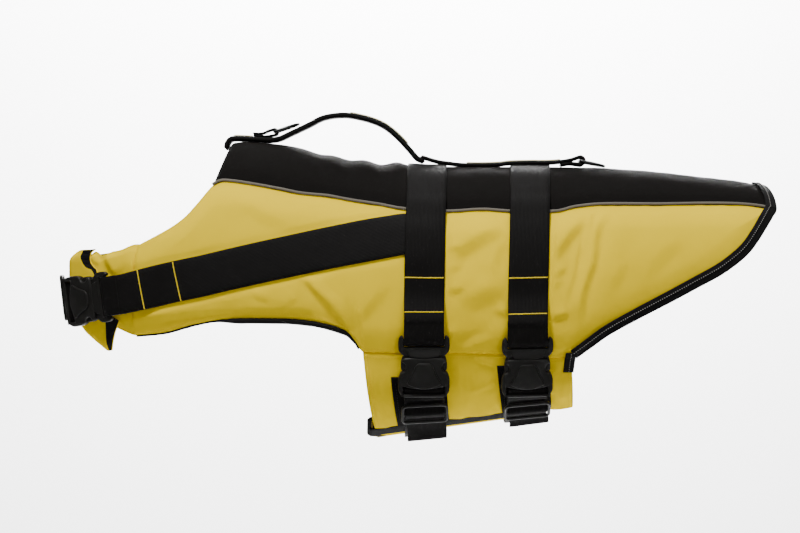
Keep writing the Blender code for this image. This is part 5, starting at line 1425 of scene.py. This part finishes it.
def girth_set(row):
    name, x_spine, x_buckle, buckle_z, slider_z, tail = row
    half = WEB_WIDTH / 2
    tailwards = np.array((1.0, 0, 0))
    buckle = local_frame(x_buckle, angle_at(x_buckle, buckle_z), 7.2 * MM, tailwards)
    inner_web = (FLAP_THICK + LAY_GAP) * 2 + PAD_THICK + LAY_GAP + WEB_THICK / 2
    slider_lift = inner_web + WEB_THICK / 2 + 3.2 * MM
    slider = local_frame(x_buckle, angle_at(x_buckle, slider_z), slider_lift, tailwards)
    first = angle_at(x_buckle, buckle_z + 0.060)
    last = angle_at(x_buckle, SIDE_LOW_Z(x_buckle) + 0.002)
    rows = in_frame(buckle, list(reversed(plug_path())))
    rows += [strap_over(x_spine, x_buckle, a, LEFT) for a in np.linspace(first, 0, 14)]
    rows += [strap_over(x_spine, x_buckle, a, RIGHT) for a in np.linspace(0, last, 16)[1:]]
    piece, outer, n = webbing("girth_" + name + "_upper_web", rows[::-1], WEB_THICK, WEB, steps=6)
    sheet(piece, "girth_" + name + "_upper")
    near = outer[..., 1].mean(axis=1) < -0.05
    tack_rows(name, outer[near], n[near], 2, GIRTH_TACKS)

    rows = []
    under = FLAP_THICK + LAY_GAP + PAD_THICK + STRAP_HEIGHT
    start = angle_at(x_buckle, SIDE_LOW_Z(x_buckle) - 0.002)
    for a in np.linspace(start, math.pi, 10):
        rows.append([lay(x_buckle + c * half, a, RIGHT, under) for c in (-1, 0, 1)])
    meet = angle_at(x_buckle, buckle_z - 0.034)
    for a in np.linspace(math.pi, meet, 10)[1:]:
        share = smoothstep((angle_of_half(x_buckle, 0.030) - a) / 0.16)
        lift = under * (1 - share) + inner_web * share
        rows.append([lay(x_buckle + c * half, a, LEFT, lift) for c in (-1, 0, 1)])
    rows += in_frame(buckle, socket_path())
    rows += in_frame(slider, slider_path(tail), hang=1.0)
    piece, outer, n = webbing("girth_" + name + "_lower_web", rows, WEB_THICK, WEB, steps=5)
    sheet(piece, "girth_" + name + "_lower")
    buckle_parts(name, buckle, slider)


def mirrored_station(s):
    """The station on this side for one past the nose, where the form turns back on the other side."""
    nose = chest_station(1.0)
    return s if s >= nose else 2 * nose - s


def chest_cover(s, a, side):
    turn = (FRONT_X - s) / WRAP_LENGTH
    p = form(s, a, side)
    if turn <= SEAM_TURN:
        return side_thick(s, a, side) + np.maximum(fold_height(p[..., 0], p[..., 2]), 0)
    from_right = turn if side == RIGHT else 2 - turn
    over = smoothstep((from_right - 0.96) / 0.12) * smoothstep((1.52 - from_right) / 0.08)
    return max(CHEST_THICK + (CHEST_THICK + CHEST_GAP) * over, chest_thick(turn - 0.06, SIDE_FOAM_THICK))


def chest_cross(line, s, side, count=4):
    """Points across the chest strap at a station."""
    places = [form(at, angle_at(at, line(mirrored_station(at))), side) for at in (s - 0.002, s + 0.002)]
    step = places[1] - places[0]
    run = math.hypot(step[0], step[1])
    slope = math.atan2(step[2], run)
    points = []
    for c in np.linspace(-0.5, 0.5, count):
        at = s - c * WEB_WIDTH * math.sin(slope) * 0.004 / run
        a = angle_at(at, line(mirrored_station(s)) + c * WEB_WIDTH * math.cos(slope))
        points.append(lay(at, a, side, chest_cover(at, a, side) + STRAP_HEIGHT))
    return points


def chest_frame(line, s, lift):
    """The frame of the chest buckle or slider, square to the strap's run."""
    ahead, behind = (form(at, angle_at(at, line(mirrored_station(at))), LEFT) for at in (s - 0.004, s + 0.004))
    a = angle_at(s, line(mirrored_station(s)))
    return local_frame(s, a, lift, np.cross(normal(s, a, LEFT), ahead - behind))


def chest_set():
    s = [station_at(x, z) for x, z in reversed(CHEST_LINE)]
    line = smooth_curve([chest_station(1.0), *s], [CHEST_LINE_NOSE_Z, *[z for _, z in reversed(CHEST_LINE)]])
    s_buckle = station_at(CHEST_BUCKLE_X, line(station_at(CHEST_BUCKLE_X, CHEST_LINE_NOSE_Z)))
    buckle = chest_frame(line, s_buckle, CHEST_THICK * 2 + CHEST_GAP + 0.8 * MM)
    nose = chest_station(1.0)
    slider = chest_frame(line, nose, 8.6 * MM)
    rear_end = GIRTHS[0][1] - WEB_WIDTH / 2 + 0.006
    rows = [chest_cross(line, at, LEFT) for at in np.linspace(rear_end, s_buckle + 0.058, 24)]
    rows += [row[::-1] for row in in_frame(buckle, plug_path(), 4)]
    piece, outer, n = webbing("chest_strap_left_web", rows, WEB_THICK, WEB, steps=5)
    sheet(piece, "chest_strap_left")
    before = slice(24 * 5)
    tack_rows("chest", outer[before], n[before], 0, CHEST_TACKS)
    rows = [chest_cross(line, at, RIGHT) for at in np.linspace(rear_end, nose, 36)]
    rows += [chest_cross(line, at, LEFT) for at in (nose + 0.008, nose + 0.0165)]
    rows += [row[::-1] for row in in_frame(buckle, socket_path(), 4)]
    rows += [row[::-1] for row in in_frame(slider, slider_path(0.010), 4)]
    piece, outer, n = webbing("chest_strap_right_web", rows, WEB_THICK, WEB, steps=5)
    sheet(piece, "chest_strap_right")
    buckle_parts("chest", buckle, slider)


# Handle and rings


def spine_rows(line, half):
    line = refine([(x, 0, z) for x, z in line], 4)
    return [[(x, -half, z), (x, half, z)] for x, _, z in line]


def handle_web(name, line, thick):
    rows = spine_rows(line, HANDLE_WIDTH / 2)
    piece, outer, n = webbing(name + "_web", rows, thick, WEB, 2, 13, 0.1, True)
    sheet(piece, name)
    return outer, n


def handles():
    outer, n = handle_web("handle_front", FRONT_HANDLE, HANDLE_THICK)
    for k, column in enumerate((2, 10)):
        sew("handle_stitches_" + str(k + 1), outer[:, column], n[:, column], DARK_THREAD)
    round_ring = around(REAR_RING, RING_CLEAR + REAR_HANDLE_THICK / 2, 100, -80)
    handle_web("handle_rear", [*REAR_HANDLE, *round_ring, *REAR_HANDLE_RETURN], REAR_HANDLE_THICK)
    for name, first, last in HANDLE_TAPES:
        line, thick, carrier = FRONT_HANDLE, HANDLE_THICK, "handle_front_web"
        if name == "rear":
            line, thick, carrier = REAR_HANDLE, REAR_HANDLE_THICK, "handle_rear_web"
        points = refine([(x, 0, z) for x, z in line], 8)
        points = points[(points[:, 0] >= first) & (points[:, 0] <= last)]
        d = np.gradient(points, axis=0)
        d /= np.linalg.norm(d, axis=1, keepdims=True)
        rise = thick / 2 + HANDLE_TAPE_THICK / 2 + 0.0001
        points = points + np.stack([-d[:, 2], 0 * d[:, 0], d[:, 0]], -1) * rise
        rows = [[(x, -HANDLE_TAPE_HALF, z), (x, HANDLE_TAPE_HALF, z)] for x, _, z in points]
        # Each tape takes the pale cream finish, a painted highlight along the handle
        piece, outer, n = webbing("handle_tape_" + name + "_web", rows, HANDLE_TAPE_THICK, TAPE_PAINTED_HIGHLIGHT,
                                  1, 9, 0.2, True)
        sheet(piece, "handle_tape_" + name)


def ring_piece(name, place):
    """A round-wire D-ring: a bow and a straight bar."""
    x, z, tilt = place
    w = RING_HALF
    turns = np.radians(np.linspace(90, -90, 25))
    bow = [(RING_DEPTH - w + w * math.cos(t), w * math.sin(t), 0) for t in turns]
    loop = [(0.3, w, 0), (3.0, w, 0), *bow, (3.0, -w, 0), (0.3, -w, 0)]
    loop += [(0, y, 0) for y in np.linspace(-w + 1, w - 1, 9)]
    m = Matrix.Translation((x, 0, z)) @ Matrix.Rotation(math.radians(-tilt), 4, "Y")
    return hard_piece(name, [tube(loop, RING_WIRE, 14, closed=True)], m, METAL, 60)


def rings():
    for name, place in (("ring_rear", REAR_RING), ("ring_front", FRONT_RING)):
        done(ring_piece(name + "_part", place), [name])
    round_ring = around(FRONT_RING, RING_CLEAR + WEB_THICK / 2, -75, 110)
    rows = spine_rows([*RING_TAB_FRONT, *round_ring, *RING_TAB_BACK], RING_TAB_WIDTH / 2)
    piece, outer, n = webbing("ring_tab_web", rows, RING_TAB_THICK, WEB, 2, 11, 0.1, True)
    sheet(piece, "ring_tab")


# Studio and camera


def studio():
    curve_y = WALL_Y - CURVE_RADIUS
    rows = [(FLOOR_FRONT, FLOOR_Z), (curve_y, FLOOR_Z)]
    for t in np.linspace(0.1, math.pi / 2, 14):
        rows.append((curve_y + CURVE_RADIUS * math.sin(t), FLOOR_Z + CURVE_RADIUS * (1 - math.cos(t))))
    rows += [(WALL_Y, WALL_TOP)]
    verts = [(x, y, z) for y, z in rows for x in (-FLOOR_HALF, FLOOR_HALF)]
    faces = [[2 * i, 2 * i + 1, 2 * i + 3, 2 * i + 2] for i in range(len(rows) - 1)]
    mesh = bpy.data.meshes.new("floor")
    mesh.from_pydata(verts, [], faces)
    mesh.materials.append(make_material("pale_floor", (0.93, 0.93, 0.93), 0.9)[0])
    mesh.shade_smooth()
    link_object("floor", mesh)
    world = bpy.data.worlds.new("studio")
    world.use_nodes = True
    world.node_tree.nodes["Background"].inputs["Color"].default_value = (1, 1, 1, 1)
    world.node_tree.nodes["Background"].inputs["Strength"].default_value = WORLD_LIGHT
    bpy.context.scene.world = world
    for name, place, size, power, aim in LAMPS:
        light = bpy.data.lights.new(name, "AREA")
        light.energy, light.size = power, size
        lamp = link_object(name, light)
        lamp.location = place
        lamp.rotation_euler = (Vector(aim) - Vector(place)).to_track_quat("-Z", "Y").to_euler()
    camera = bpy.data.cameras.new("camera")
    camera.lens, camera.sensor_width = CAMERA_LENS, 36
    holder = link_object("camera", camera)
    holder.location = CAMERA_PLACE
    holder.rotation_euler = (math.pi / 2, 0, 0)
    bpy.context.scene.camera = holder


def main():
    back_panel()
    for side in (LEFT, RIGHT):
        side_panel(side)
        seam_piping(side)
        leg_piping(side)
    belly_left()
    belly_right()
    for side in (LEFT, RIGHT):
        binding_tail(side)
    chest_flap(LEFT, CHEST_LEFT, 50)
    chest_flap(RIGHT, CHEST_RIGHT, 110)
    rear_binding()
    pads()
    loop_patch()
    for row in GIRTHS:
        girth_set(row)
    chest_set()
    handles()
    rings()
    studio()


main()
